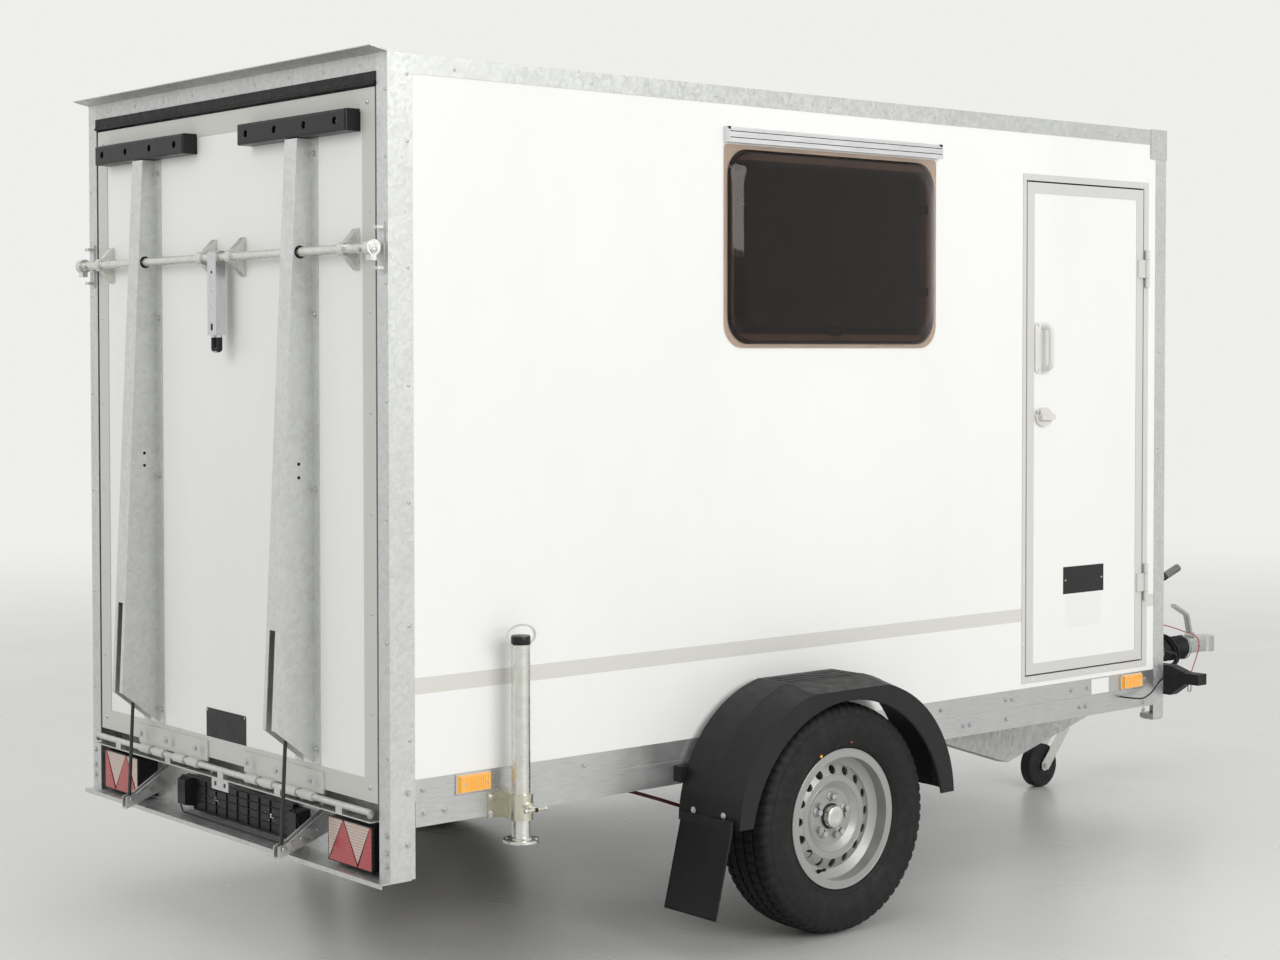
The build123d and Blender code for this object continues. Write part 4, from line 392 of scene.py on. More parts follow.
def bright_zinc(name, colour, roughness=0.24, metallic=0.95):
    """Plated steel with a cloudy passivated film."""
    finish = new_finish(name, colour, roughness, metallic)
    film = noise(finish, 38.0, 4.0, 0.65)
    tint = (colour[0] * 0.98, colour[1] * 0.98, colour[2] * 0.93)
    stops = [(0.3, shade(tint, 0.93)), (0.52, colour), (0.7, shade(colour, 1.05))]
    join(finish, ramp_colours(finish, film, stops), base(finish)["Base Color"])
    rough_map(finish, noise(finish, 60.0, 3.0), roughness - 0.05, roughness + 0.12)
    bump(finish, noise(finish, 300.0, 2.0), 0.06, 0.0003)
    return finish


def grained_plastic(name, colour, roughness=0.5, grain=620.0, strength=0.25):
    """Moulded plastic with a leathery grain and slight fading."""
    finish = new_finish(name, colour, roughness, specular=0.3)
    cell = add_node(finish, "ShaderNodeTexVoronoi", Scale=grain, feature="SMOOTH_F1")
    join(finish, place_map(finish), cell.inputs["Vector"])
    fade = noise(finish, 4.0, 4.0)
    tint_by(finish, fade, colour, (0.3, 0.88), (0.55, 1), (0.75, 1.22))
    rough_map(finish, noise(finish, 30.0, 3.0), roughness - 0.06, roughness + 0.1)
    bump(finish, cell.outputs["Distance"], strength, 0.0004)
    return finish


def sprayed_paint(name, colour, roughness=0.36, metallic=0.35):
    """Sprayed coat with metal flecks and light orange peel."""
    finish = new_finish(name, colour, roughness, metallic, coat=0.2)
    flecks = noise(finish, 2200.0, 1.0)
    tint_by(finish, flecks, colour, (0.3, 0.9), (0.5, 1), (0.7, 1.12))
    rough_map(finish, noise(finish, 14.0, 4.0), roughness - 0.05, roughness + 0.1)
    bump(finish, noise(finish, 240.0, 2.0), 0.06, 0.0004)
    return finish


def tyre_rubber(name, colour, roughness=0.62):
    """Rubber with dusty patches and a fine moulded surface."""
    finish = new_finish(name, colour, roughness, specular=0.3)
    dust = noise(finish, 16.0, 6.0, 0.7)
    tint_by(finish, dust, colour, (0.35, 0.8), (0.55, 1), (0.8, 1.9))
    rough_map(finish, noise(finish, 45.0, 4.0), roughness - 0.08, roughness + 0.14)
    bump(finish, noise(finish, 900.0, 2.0), 0.15, 0.0003)
    return finish


def ribbed_lens(name, colour, direction="X", glow=0.0):
    """Moulded lamp lens with fine optic ribs below a clear gloss; with glow set it also gets a painted glow."""
    finish = new_finish(name, colour, 0.12, coat=0.8)
    wave = add_node(finish, "ShaderNodeTexWave", Scale=260.0 / 6.283, Distortion=0.0)
    wave.bands_direction = direction
    join(finish, place_map(finish), wave.inputs["Vector"])
    depth = add_node(finish, "ShaderNodeTexVoronoi", Scale=55.0)
    join(finish, place_map(finish), depth.inputs["Vector"])
    tint_by(finish, wave.outputs["Fac"], colour, (0.0, 0.78), (0.5, 1), (1.0, 1.15))
    bump(finish, wave.outputs["Fac"], 0.25, 0.0006)
    base(finish)["Subsurface Weight"].default_value = 0.15
    base(finish)["Subsurface Radius"].default_value = (0.004, 0.004, 0.004)
    # Painted glow: the lens gives off light of its own although the lamp is off.
    if glow:
        base(finish)["Emission Color"].default_value = (*colour, 1)
        base(finish)["Emission Strength"].default_value = glow
    return finish


def smoked_acrylic(name, colour):
    """Tinted clear plastic with slight waviness."""
    finish = new_finish(name, colour, 0.02)
    base(finish)["Transmission Weight"].default_value = 1.0
    base(finish)["IOR"].default_value = 1.35
    haze = noise(finish, 7.0, 3.0)
    tint_by(finish, haze, colour, (0.3, 0.93), (0.6, 1), (0.8, 1.05))
    rough_map(finish, noise(finish, 25.0, 3.0), 0.02, 0.05)
    bump(finish, noise(finish, 6.0, 1.0), 0.05, 0.002)
    return finish


def coated_board(name, colour):
    """Phenolic-faced plywood with a wire-mesh print in its face."""
    finish = new_finish(name, colour, 0.5)
    weave = add_node(finish, "ShaderNodeTexVoronoi", Scale=260.0, distance="CHEBYCHEV", Randomness=0.0)
    join(finish, place_map(finish), weave.inputs["Vector"])
    grain = noise(finish, 7.0, 6.0, 0.6, (0.15, 1, 1))
    tint_by(finish, grain, colour, (0.3, 0.7), (0.55, 1), (0.75, 1.35))
    rough_map(finish, noise(finish, 20.0, 3.0), 0.4, 0.6)
    bump(finish, weave.outputs["Distance"], 0.4, 0.0008)
    return finish


finishes = {}


def make_finishes(look):
    white = tuple(look.panel_colour)
    zinc = tuple(look.zinc_colour)
    finishes.update(
        panel=laminate("white laminate", white),
        door_white=laminate("white door sheet", shade(white, 0.99), 0.3),
        ramp_white=laminate("white ramp sheet", shade(white, 0.97), 0.38),
        stripe=laminate("grey stripe foil", tuple(look.stripe_colour), 0.42),
        sticker=laminate("blank white label", shade(white, 0.95), 0.45),
        black_label=grained_plastic("blank black label", (0.018, 0.018, 0.02), 0.38, 900.0, 0.06),
        trim=laminate("light grey trim", (0.66, 0.655, 0.63), 0.4),
        cream=laminate("cream ramp trim", (0.60, 0.595, 0.56), 0.42),
        zinc=spangled_zinc("galvanised sheet", zinc, 95.0, 0.8, 0.4, 0.09),
        # Painted light: the ramp rails get a lighter copy of the sheet zinc so their side faces read brighter.
        rail_zinc=spangled_zinc("galvanised ramp rail, painted light", shade(zinc, 1.05), 80.0, 0.68, 0.44, 0.08),
        # Painted shade: the rear header gets a darker copy of the sheet zinc, standing in for the shadow under the drip
        # lip.
        header_zinc=spangled_zinc("galvanised header, painted shade", shade(zinc, 0.88), 80.0, 0.8, 0.42, 0.1),
        post_zinc=spangled_zinc("galvanised post", shade(zinc, 1.0), 110.0, 0.72, 0.46, 0.1),
        dull_zinc=spangled_zinc("hot-dip beam", shade(zinc, 0.92), 60.0, 0.7, 0.5, 0.16),
        rail=rolled_metal("rolled zinc rail", shade(zinc, 0.98), 0.33, 0.88),
        alloy=rolled_metal("satin aluminium", (0.74, 0.745, 0.75), 0.32, 0.85),
        upright_alloy=rolled_metal("satin aluminium upright", (0.70, 0.70, 0.70), 0.34, 0.85, (1, 1, 0.04)),
        steel=rolled_metal("stainless channel", (0.62, 0.63, 0.64), 0.24, 0.96, (1, 1, 0.03), 700.0),
        plated=bright_zinc("plated steel", (0.70, 0.70, 0.67)),
        passivated=bright_zinc("passivated clamp", (0.62, 0.60, 0.50), 0.28),
        bolt=bright_zinc("plated bolts", (0.55, 0.56, 0.57), 0.3, 0.9),
        rod=rolled_metal("polished rod", (0.70, 0.71, 0.73), 0.12, 1.0, (1, 1, 0.05), 900.0),
        black=grained_plastic("black moulded plastic", tuple(look.fender_colour), 0.46),
        smooth_black=grained_plastic("smooth black plastic", (0.012, 0.012, 0.013), 0.3, 1400.0, 0.06),
        flap=grained_plastic("black rubber sheet", (0.005, 0.006, 0.007), 0.6, 300.0, 0.1),
        rubber=tyre_rubber("black rubber", (0.014, 0.014, 0.015), 0.56),
        tyre=tyre_rubber("tyre rubber", (0.012, 0.012, 0.012), 0.64),
        rim=sprayed_paint("silver wheel paint", (0.36, 0.357, 0.345)),
        coupling=bright_zinc("plated coupling", (0.52, 0.53, 0.52), 0.34, 0.85),
        spring_black=sprayed_paint("black spring paint", (0.012, 0.012, 0.013), 0.3, 0.0),
        red=ribbed_lens("red lamp lens", (0.43, 0.018, 0.022), direction="Z"),
        clear=ribbed_lens("clear lamp lens", (0.56, 0.43, 0.37), direction="Z"),
        # The amber finish glows a little: painted glow on the side markers, their ribs and the yellow balance dots.
        amber=ribbed_lens("amber lamp lens", (0.90, 0.42, 0.06), direction="X", glow=0.18),
        # Part real smoke tint, part painted shade: the pane's tint is far darker than the flange's copy of the same
        # acrylic, standing in for the dark inside.
        smoke=smoked_acrylic("smoked acrylic", (0.24, 0.165, 0.125)),
        smoke_flange=smoked_acrylic("smoked acrylic flange", (0.66, 0.50, 0.40)),
        dark=new_finish("shadow gap", (0.006, 0.006, 0.006), 0.9),
        board=coated_board("coated plywood", (0.075, 0.045, 0.028)),
        white_plastic=grained_plastic("white moulded plastic", (0.80, 0.795, 0.765), 0.36, 1200.0, 0.05),
        cream_plastic=grained_plastic("cream moulded plastic", (0.74, 0.73, 0.68), 0.36, 1200.0, 0.05),
        cable_black=grained_plastic("black cable sheath", (0.012, 0.012, 0.012), 0.42, 1500.0, 0.05),
        cable_red=grained_plastic("red cable sheath", (0.42, 0.05, 0.05), 0.34, 1500.0, 0.04),
        cable_brown=grained_plastic("dark red cable sheath", (0.075, 0.013, 0.010), 0.38, 1500.0, 0.04),
    )
    # Painted shadow: the shadow gap finish is near-black where only shade would be, and this noise only varies that
    # painted shade.
    gap_shade_noise = noise(finishes["dark"], 40.0, 3.0)
    stops = [(0.3, (0.004, 0.004, 0.004)), (0.7, (0.012, 0.011, 0.010))]
    join(finishes["dark"], ramp_colours(finishes["dark"], gap_shade_noise, stops), base(finishes["dark"])["Base Color"])


NODE_FINISH = {
    "panel": "wall_right wall_left wall_front roof_panel",
    "door_white": "door_panel",
    "ramp_white": "ramp_panel",
    "trim": "door_frame door_edge",
    "cream": "ramp_frame",
    "zinc": "lamp_panel roof_rails hinge_tube",
    # The ramp rails' lighter zinc is painted light.
    "rail_zinc": "ramp_rails",
    # The rear header's darker zinc is painted shade.
    "header_zinc": "rear_header",
    "post_zinc": "rear_posts front_posts",
    "dull_zinc": "cross_members axle drawbar_arms",
    "rail": "side_rails",
    "board": "floor_panel",
    "alloy": "window_rail",
    "black": "fenders",
    "smooth_black": "plate_holder tail_lamps ramp_buffers lead_plug",
    "rubber": "bellows front_lamps jockey_wheel",
    "tyre": "tyre_right tyre_left",
    "rim": "wheel_rim_right wheel_rim_left",
    "coupling": "coupling_head overrun_device handbrake",
    "plated": "jockey_tube jockey_fork steady_leg_right steady_leg_left lock_bar bar_brackets",
    "rod": "jockey_leg",
    "steel": "lock_handle",
    "passivated": "steady_clamps",
    "amber": "side_markers",
    # The pane's dark tint is partly painted shade.
    "smoke": "window_pane",
    "white_plastic": "door_pull",
    "cream_plastic": "door_lock",
    "spring_black": "gas_cylinder_right gas_cylinder_left gas_rod_right gas_rod_left",
    "cable_black": "lead_tube lead_coil marker_leads",
    "cable_red": "breakaway_cable",
    "bolt": "breakaway_hook",
    "cable_brown": "brake_cables",
}


def finish_nodes():
    for finish, nodes in NODE_FINISH.items():
        for name in nodes.split():
            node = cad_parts[name]
            if not node.material_slots:
                node.data.materials.append(finishes[finish])
            for slot in node.material_slots:
                slot.material = finishes[finish]


# Body shell


def build_stripes(sizes):
    """Grey foil band along both walls, broken by the side door."""
    low, high = sizes.stripe_foot, sizes.stripe_foot + sizes.stripe_height
    bm = bmesh.new()
    for start, end in ((0.0745, 2.3735), (3.0095, 3.0465)):
        add_block(bm, spot(start, -SKIN, low), spot(end, -SKIN - 0.0004, high))
    make_piece("stripe_right", bm, "chassis", finishes["stripe"])
    bm = bmesh.new()
    add_block(bm, spot(0.0745, SKIN, low), spot(3.0465, SKIN + 0.0004, high))
    make_piece("stripe_left", bm, "chassis", finishes["stripe"])


def build_body_bolts():
    """Rivets and bolts in the posts, rails, header and roof edge."""
    heads = bmesh.new()
    rivets = bmesh.new()
    for s in (-1, 1):
        side = Y * s
        for z in (0.352, 0.384, 0.428):
            add_hex_bolt(heads, spot(0, s * 0.786, z), -X, 0.006, 0.004, 0.0095)
        for z in (0.62, 0.905, 1.21, 1.50, 1.79, 2.10, 2.265):
            add_dome(rivets, spot(0, s * 0.792, z), -X, *RIVET)
            add_dome(rivets, spot(0.058, s * SIDE, z + 0.04), side, *RIVET)
        for z in (0.40, 0.53):
            add_hex_bolt(heads, spot(0.052, s * SIDE, z), side, 0.0055, 0.004, 0.009)
        for z in (0.47, 0.66, 0.99, 1.30, 1.62, 1.95, 2.27):
            add_dome(rivets, spot(FRONT_FACE - 0.036, s * SIDE, z), side, *RIVET)
            add_dome(rivets, spot(FRONT_FACE, s * 0.772, z), X, *RIVET)
        for i in range(7):
            add_dome(rivets, spot(0.20 + i * 0.44, s * SIDE, 2.326), side, *RIVET)
            add_dome(rivets, spot(0.18 + i * 0.45, s * 0.776, 2.356), Z, *RIVET)
        for fore in (0.098, 0.61, 1.0, 1.93, 2.0, 2.30, 2.33, 2.62, 2.70, 3.0):
            add_hex_bolt(heads, spot(fore, s * SIDE, 0.532), side, 0.0055, 0.0038, 0.0092)
        for fore in (0.10, 0.162, 1.93, 2.10, 2.13, 2.30, 2.66, 2.69):
            add_hex_bolt(heads, spot(fore, s * 0.8045, 0.474), side, 0.006, 0.0042, 0.0098)
        for z in (0.43, 0.455):
            add_hex_bolt(heads, spot(2.99, s * 0.8045, z), side, 0.0055, 0.004, 0.009)
        for z in (2.288, 2.335):
            add_dome(rivets, spot(FRONT_FACE - 0.062, s * (SIDE + 0.002), z), side, 0.004, 0.0016)
    for i in range(9):
        add_dome(rivets, spot(0, -0.68 + i * 0.17, 2.332), -X, *RIVET)
        add_dome(rivets, spot(FRONT_FACE, -0.68 + i * 0.17, 2.33), X, *RIVET)
    make_piece("body_bolts", heads, "chassis", finishes["bolt"])
    make_piece("body_rivets", rivets, "chassis", finishes["bolt"])


def build_seals():
    """Rubber seals around the ramp opening and behind the door leaf."""
    bm = bmesh.new()
    add_block(bm, spot(-0.004, -0.752, 2.2815), spot(0.001, 0.752, 2.3125))
    add_tube(bm, [spot(-0.003, y, 2.284) for y in (-0.752, 0.0, 0.752)], 0.0045, 10)
    for s in (-1, 1):
        add_block(bm, spot(0.004, s * 0.7463, 0.50), spot(0.03, s * 0.7522, 2.281))
    make_piece("ramp_seal", bm, "chassis", finishes["rubber"])
    bm = bmesh.new()
    x0, x1, z0, z1 = 2.3925, 2.9815, 0.5985, 2.1565
    for a, b in (
        ((x0, z0), (x0 + 0.0035, z1)),
        ((x1 - 0.0035, z0), (x1, z1)),
        ((x0, z0), (x1, z0 + 0.0035)),
        ((x0, z1 - 0.0035), (x1, z1)),
    ):
        add_block(bm, spot(a[0], -SKIN + 0.004, a[1]), spot(b[0], -SKIN + 0.012, b[1]))
    make_piece("door_seal", bm, "chassis", finishes["rubber"])


# Window and side door

WINDOW_MIDDLE = ((1.107 + 1.971) / 2, (1.631 + 2.198) / 2)


def window_ring(width, height, corner, out, top=0.0):
    """Ring of points about the window's middle, standing off the wall."""
    fore, z = WINDOW_MIDDLE
    return [spot(fore + a, -SKIN - out, z + b) for a, b in rounded(width, height, corner, 10, top)]


def build_window(sizes):
    """Smoked pane with a flat flange, a raised rim, a wide bevel and a flat face; dark clips behind it."""
    bm = bmesh.new()
    bulge = sizes.pane_bulge
    loops = [
        window_ring(0.860, 0.563, 0.068, 0.0010, 0.012),
        window_ring(0.862, 0.565, 0.069, 0.0020, 0.013),
        window_ring(0.860, 0.563, 0.068, 0.0040, 0.012),
        window_ring(0.846, 0.549, 0.062, 0.0044, 0.040),
        window_ring(0.838, 0.541, 0.076, 0.0050, 0.070),
    ]
    add_loops(bm, loops)
    flange = make_piece("window_flange", bm, "chassis", finishes["smoke_flange"], smooth=28)
    bm = bmesh.new()
    loops = [
        window_ring(0.8385, 0.5415, 0.0765, 0.0046, 0.0705),
        window_ring(0.832, 0.535, 0.084, 0.0090, 0.080),
        window_ring(0.826, 0.529, 0.086, 0.0120, 0.084),
        window_ring(0.760, 0.462, 0.066, bulge - 0.0022, 0.064),
        window_ring(0.748, 0.450, 0.060, bulge - 0.0007, 0.060),
        window_ring(0.736, 0.438, 0.056, bulge - 0.0004, 0.056),
    ]
    add_loops(bm, loops, cap_end=True)
    back = [
        window_ring(0.8385, 0.5415, 0.0765, 0.0046, 0.0705),
        window_ring(0.826, 0.529, 0.083, 0.0022, 0.080),
        window_ring(0.818, 0.521, 0.083, 0.0080, 0.080),
        window_ring(0.754, 0.456, 0.062, bulge - 0.0052, 0.060),
        window_ring(0.736, 0.438, 0.056, bulge - 0.0044, 0.056),
    ]
    add_loops(bm, back, cap_end=True)
    # The pane's darker smoked tint is partly painted shade of the dark inside.
    pane = make_piece("side_window", bm, "chassis", finishes["smoke"], smooth=28)
    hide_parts("window_pane")
    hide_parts("window_pane")
    bm = bmesh.new()
    add_tube(bm, window_ring(0.824, 0.527, 0.083, 0.0052, 0.078), 0.0035, 8, close=True)
    for fore, z in ((1.172, 2.045), (1.172, 1.80), (1.905, 2.045), (1.905, 1.80), (1.539, 1.682)):
        add_block(bm, spot(fore - 0.017, -SKIN - 0.004, z - 0.013), spot(fore + 0.017, -SKIN - 0.0155, z + 0.013))
        add_rod(bm, spot(fore, -SKIN - 0.002, z), spot(fore, -SKIN + 0.010, z), 0.008, 14)
    make_piece("window_clips", bm, "chassis", finishes["smooth_black"], 0.002)
    bm = bmesh.new()
    for z in (2.2145, 2.2315):
        add_block(bm, spot(1.114, -SKIN - 0.0221, z - 0.0011), spot(1.976, -SKIN - 0.0223, z + 0.0011))
    for a, b in ((1.1102, 1.1180), (1.9720, 1.9798)):
        add_block(bm, spot(a, -SKIN - 0.0004, 2.2018), spot(b, -SKIN - 0.0205, 2.2442))
    make_piece("window_rail_lines", bm, "chassis", finishes["smooth_black"], 0.0008)


def build_door():
    """Blank plates and a label on the leaf, screws in the pull, and the lock's key barrel."""
    bm = bmesh.new()
    add_block(bm, spot(2.577, -SKIN, 0.844), spot(2.781, -SKIN - 0.0012, 0.931))
    make_piece("door_name_plate", bm, "door", finishes["black_label"], 0.0006)
    bm = bmesh.new()
    add_block(bm, spot(2.592, -SKIN, 0.735), spot(2.768, -SKIN - 0.0004, 0.838))
    make_piece("door_label", bm, "door", finishes["sticker"])
    bm = bmesh.new()
    for fore in (2.588, 2.770):
        add_dome(bm, spot(fore, -SKIN - 0.0012, 0.888), -Y, 0.0036, 0.0018)
    for z in (1.5625, 1.7055):
        for fore in (2.442, 2.490):
            add_dome(bm, spot(fore, -SKIN - 0.006, z), -Y, 0.004, 0.0018)
    add_lathe(
        bm,
        [(0.0085, 0), (0.0085, 0.0028), (0.0072, 0.0036), (0.0022, 0.0036), (0.0018, 0.0018), (0, 0.0018)],
        spot(2.4415, -SKIN - 0.010, 1.4325), -Y, 24,
    )
    make_piece("door_screws", bm, "door", finishes["bolt"])
    bm = bmesh.new()
    add_block(bm, spot(2.719, -SKIN - 0.0020, 0.5075), spot(2.808, -SKIN - 0.0036, 0.5565))
    make_piece("type_plate", bm, "chassis", finishes["sticker"], 0.0006)
    bm = bmesh.new()
    for fore in (2.7235, 2.8035):
        add_dome(bm, spot(fore, -SKIN - 0.0036, 0.532), -Y, 0.0024, 0.0012)
    for fore in [2.43 + 0.09 * i for i in range(7)]:
        for z in (0.584, 2.170):
            add_dome(bm, spot(fore, -0.8025, z), -Y, 0.0032, 0.0014)
    for z in [0.70 + 0.20 * i for i in range(8)]:
        add_dome(bm, spot(2.3815, -0.8025, z), -Y, 0.0032, 0.0014)
    make_piece("frame_rivets", bm, "chassis", finishes["white_plastic"])


# Ramp


def build_ramp():
    """Bolts, near-black discs of painted shadow for the slots and holes in the galvanised rails, plate, hinge bolts and
    corner screws.
    """
    bolts = bmesh.new()
    dark = bmesh.new()
    for s in (-1, 1):
        for side in (-1, 1):
            y = s * RAIL_MIDDLE + side * 0.046
            for z in (0.60, 1.27, 1.72, 2.13):
                add_hex_bolt(bolts, spot(0.0, y, z), -X, 0.0055, 0.0042, 0.0095)
        for z in (1.30, 1.335):
            for side in (-1, 1):
                y = s * RAIL_MIDDLE + side * 0.0301
                # Painted shadow: thin near-black discs stand for the shade inside the rail holes.
                add_lathe(dark, [(0.0045, 0), (0.0045, 0.0003), (0, 0.0003)], spot(-0.040, y, z), Y * side, 14)
        for along in (-0.168, 0.0, 0.150):
            add_hex_bolt(bolts, spot(-0.0245, s * 0.300 + along, 0.524), -X, 0.0068, 0.005, 0.0115)
        for z in (0.536, 2.240):
            add_dome(bolts, spot(0.0008, s * 0.712, z), -X, 0.0062, 0.003)
        for z in [0.72 + 0.25 * i for i in range(6)]:
            add_dome(bolts, spot(0.0008, s * 0.722, z), -X, 0.0036, 0.0016)
        for i in range(4):
            add_hex_bolt(bolts, spot(-0.0300, s * 0.413 + (i - 1.5) * 0.145, 2.198), -X, 0.0048, 0.006, 0.0085)
    make_piece("ramp_bolts", bolts, "ramp", finishes["bolt"])
    make_piece("rail_hole_shadows", dark, "ramp", finishes["dark"])
    bm = bmesh.new()
    add_plate(bm, [spot(0.0018, a + 0.007, b + 0.591) for a, b in rounded(0.216, 0.094, 0.006, 4)], X * 0.0012)
    make_piece("ramp_name_plate", bm, "ramp", finishes["black_label"], 0.0004)
    bm = bmesh.new()
    for y in (-0.094, 0.108):
        for z in (0.550, 0.632):
            add_dome(bm, spot(0.0018, y, z), -X, 0.003, 0.0014)
    make_piece("ramp_plate_rivets", bm, "ramp", finishes["bolt"])


def build_lock():
    """Bracket and bar bolts, bolts and painted-shadow slots of the lock handle, and its rubber grip."""
    bolts = bmesh.new()
    for y in (0.660, 0.053, -0.103, -0.660):
        for dz in (-0.040, 0.040):
            add_hex_bolt(bolts, spot(-0.0020, y, BAR_HEIGHT + dz), -X, 0.0046, 0.0036, 0.0078)
    make_piece("bracket_bolts", bolts, "ramp", finishes["bolt"])
    bolts = bmesh.new()
    for s in (-1, 1):
        add_hex_bolt(bolts, spot(-0.0450, s * 0.742, BAR_HEIGHT), -X, 0.005, 0.004, 0.0085)
        add_hex_bolt(bolts, spot(-0.033, s * 0.792, BAR_HEIGHT), Y * s, 0.006, 0.0028, 0.0092)
    make_piece("lock_bar_bolts", bolts, "ramp_lock", finishes["bolt"])
    bolts = bmesh.new()
    for z in (1.745, 1.790):
        add_hex_bolt(bolts, spot(-0.0480, -0.025, z), -X, 0.0058, 0.0030, 0.0095)
    make_piece("handle_bolts", bolts, "ramp_lock", finishes["bolt"])
    bolts = bmesh.new()
    # Painted shadow: thin near-black plates stand for the shade inside the handle's slots.
    for y, z, wide, tall in ((-0.025, 1.690, 0.010, 0.020), (-0.025, 1.838, 0.008, 0.008)):
        outline = [spot(-0.0520, y + a, z + b) for a, b in rounded(wide, tall, wide * 0.48, 5)]
        add_plate(bolts, outline, X * -0.0004)
    make_piece("handle_slot_shadows", bolts, "ramp_lock", finishes["dark"])
    bm = bmesh.new()
    turns = [math.pi * i / 12 for i in range(13)]
    path = [spot(-0.037, -0.025 + 0.0150 * math.cos(t), 1.6315 - 0.0030 * math.sin(t)) for t in turns]
    add_tube(bm, [spot(-0.037, -0.010, 1.662)] + path + [spot(-0.037, -0.040, 1.662)], 0.0078, 14)
    make_piece("handle_grip", bm, "ramp_lock", finishes["rubber"])


# Rear lamps and plate


def build_lamps(sizes):
    """Ribbed lenses with triangular reflectors, a gridded plate carrier and a wire guard."""
    face = 0.0010
    red = bmesh.new()
    clear = bmesh.new()
    frame_bars = bmesh.new()
    for s in (-1, 1):
        inner, outer = s * 0.5215, s * 0.7200
        low, high = 0.3270, 0.4350
        apex = s * 0.5900
        notch = s * 0.6555
        reach = s * 0.7140
        lean = s * 0.0105

        def panel(bm, points, out):
            add_plate(bm, [spot(face - 0.0001, y, z) for y, z in points], X * -out)

        wedge = [(apex, high), (inner + lean * 0.4, low), (notch, low), (notch - lean * 0.2, low + 0.004)]
        panel(red, wedge, sizes.lens_proud)
        panel(red, [(reach, high), (notch + lean * 0.3, low), (outer, low), (outer, high)], sizes.lens_proud)
        wedge = [(apex + lean * 0.3, high), (notch, low + 0.008), (reach - lean * 0.3, high)]
        panel(clear, wedge, sizes.lens_proud * 0.8)
        panel(clear, [(inner, high), (inner, low + 0.004), (apex - lean * 0.3, high)], sizes.lens_proud * 0.8)
        for z0, z1 in ((low - 0.003, low - 0.0004), (high + 0.0004, high + 0.003)):
            foot, head = spot(face + 0.0005, inner - s * 0.003, z0), spot(face - 0.0022, outer + s * 0.003, z1)
            add_block(frame_bars, foot, head)
        for y in (inner - s * 0.0018, outer + s * 0.0018):
            foot, head = spot(face + 0.0005, y - 0.0013, low - 0.003), spot(face - 0.0022, y + 0.0013, high + 0.003)
            add_block(frame_bars, foot, head)
    make_piece("tail_lamp_lenses", red, "chassis", finishes["red"], 0.0006)
    make_piece("indicator_lenses", clear, "chassis", finishes["clear"], 0.0006)
    make_piece("lamp_bezels", frame_bars, "chassis", finishes["smooth_black"], 0.0006)
    bm = bmesh.new()
    foot, head, half = 0.3270, 0.4150, 0.2640
    back = 0.062 - 0.013
    for i in range(9):
        y = -half + (i + 0.5) * 2 * half / 9 - half / 9
        add_block(bm, spot(back, y - 0.0012, foot), spot(back - 0.0035, y + 0.0012, head))
    for z in (foot + 0.022, foot + 0.044, foot + 0.066):
        add_block(bm, spot(back, -half, z - 0.001), spot(back - 0.0028, half, z + 0.001))
    make_piece("plate_grid", bm, "chassis", finishes["smooth_black"], 0.0005)
    bm = bmesh.new()
    for y in (-0.150, 0.150):
        add_dome(bm, spot(back, y, 0.371), -X, 0.006, 0.003)
        add_rod(bm, spot(back - 0.002, y - 0.001, 0.366), spot(back - 0.002, y - 0.020, 0.366), 0.0016, 8)
        for dy, dz in ((0.012, 0.014), (-0.012, 0.012), (0.009, -0.014), (-0.015, -0.012), (0.026, 0.004)):
            add_lathe(bm, [(0.0015, 0), (0.0013, 0.0012), (0, 0.0013)], spot(back, y + dy, 0.371 + dz), -X, 8)
    make_piece("plate_screws", bm, "chassis", finishes["bolt"])
    bm = bmesh.new()
    top, low = 0.4245, 0.3160
    loop = [
        spot(0.020, 0.262, top), spot(0.018, 0.0, top), spot(0.020, -0.262, top), spot(0.026, -0.300, top - 0.006),
        spot(0.028, -0.322, top - 0.030), spot(0.028, -0.326, 0.37), spot(0.026, -0.318, low + 0.026),
        spot(0.020, -0.285, low), spot(0.018, 0.0, low), spot(0.020, 0.285, low), spot(0.026, 0.318, low + 0.026),
        spot(0.028, 0.326, 0.37), spot(0.028, 0.322, top - 0.030), spot(0.026, 0.300, top - 0.006),
    ]
    add_tube(bm, loop, 0.0022, 8, close=True)
    make_piece("plate_guard_wire", bm, "chassis", finishes["smooth_black"])
    bm = bmesh.new()
    for s in (-1, 1):
        for y, z in ((0.36, 0.436), (0.36, 0.398), (0.49, 0.446), (0.765, 0.446)):
            add_hex_bolt(bm, spot(0.062, s * y, z), -X, 0.005, 0.004, 0.0085)
        add_hex_bolt(bm, spot(-0.021 + 0.006, s * 0.7352, 0.4725), Y * s, 0.007, 0.004, 0.009)
        for y in (0.398, 0.438):
            way = 1 if y > RAIL_MIDDLE else -1
            add_lathe(
                bm,
                [(0.0078, 0), (0.0082, 0.0012), (0.0074, 0.003), (0, 0.0034)],
                spot(-0.080, s * (RAIL_MIDDLE + way * 0.017), 0.345), Y * s * way, 18,
            )
        add_dome(bm, spot(-0.030, s * (RAIL_MIDDLE + 0.017), 0.366), Y * s, 0.005, 0.002)
        add_dome(bm, spot(0.020, s * (RAIL_MIDDLE + 0.017), 0.384), Y * s, 0.005, 0.002)
    make_piece("rear_panel_bolts", bm, "chassis", finishes["bolt"])
    bm = bmesh.new()
    for i in range(13):
        y = -0.57 + i * 0.095
        add_hex_bolt(bm, spot(0.009, y, 0.458), Z, 0.0045, 0.003, 0.0075)
    make_piece("shelf_bolts", bm, "chassis", finishes["bolt"])


# Fenders and wheels


def fender_line(out):
    """Points along the fender's top and shoulders, from rear foot to front foot, set off its skin."""
    arc = arc_through((0.145, 0.708 + out), (0.320 + out * 0.7, 0.617 + out * 0.7), (0.440 + out, 0.352), 14)
    return [(-x, z) for x, z in reversed(arc)] + arc


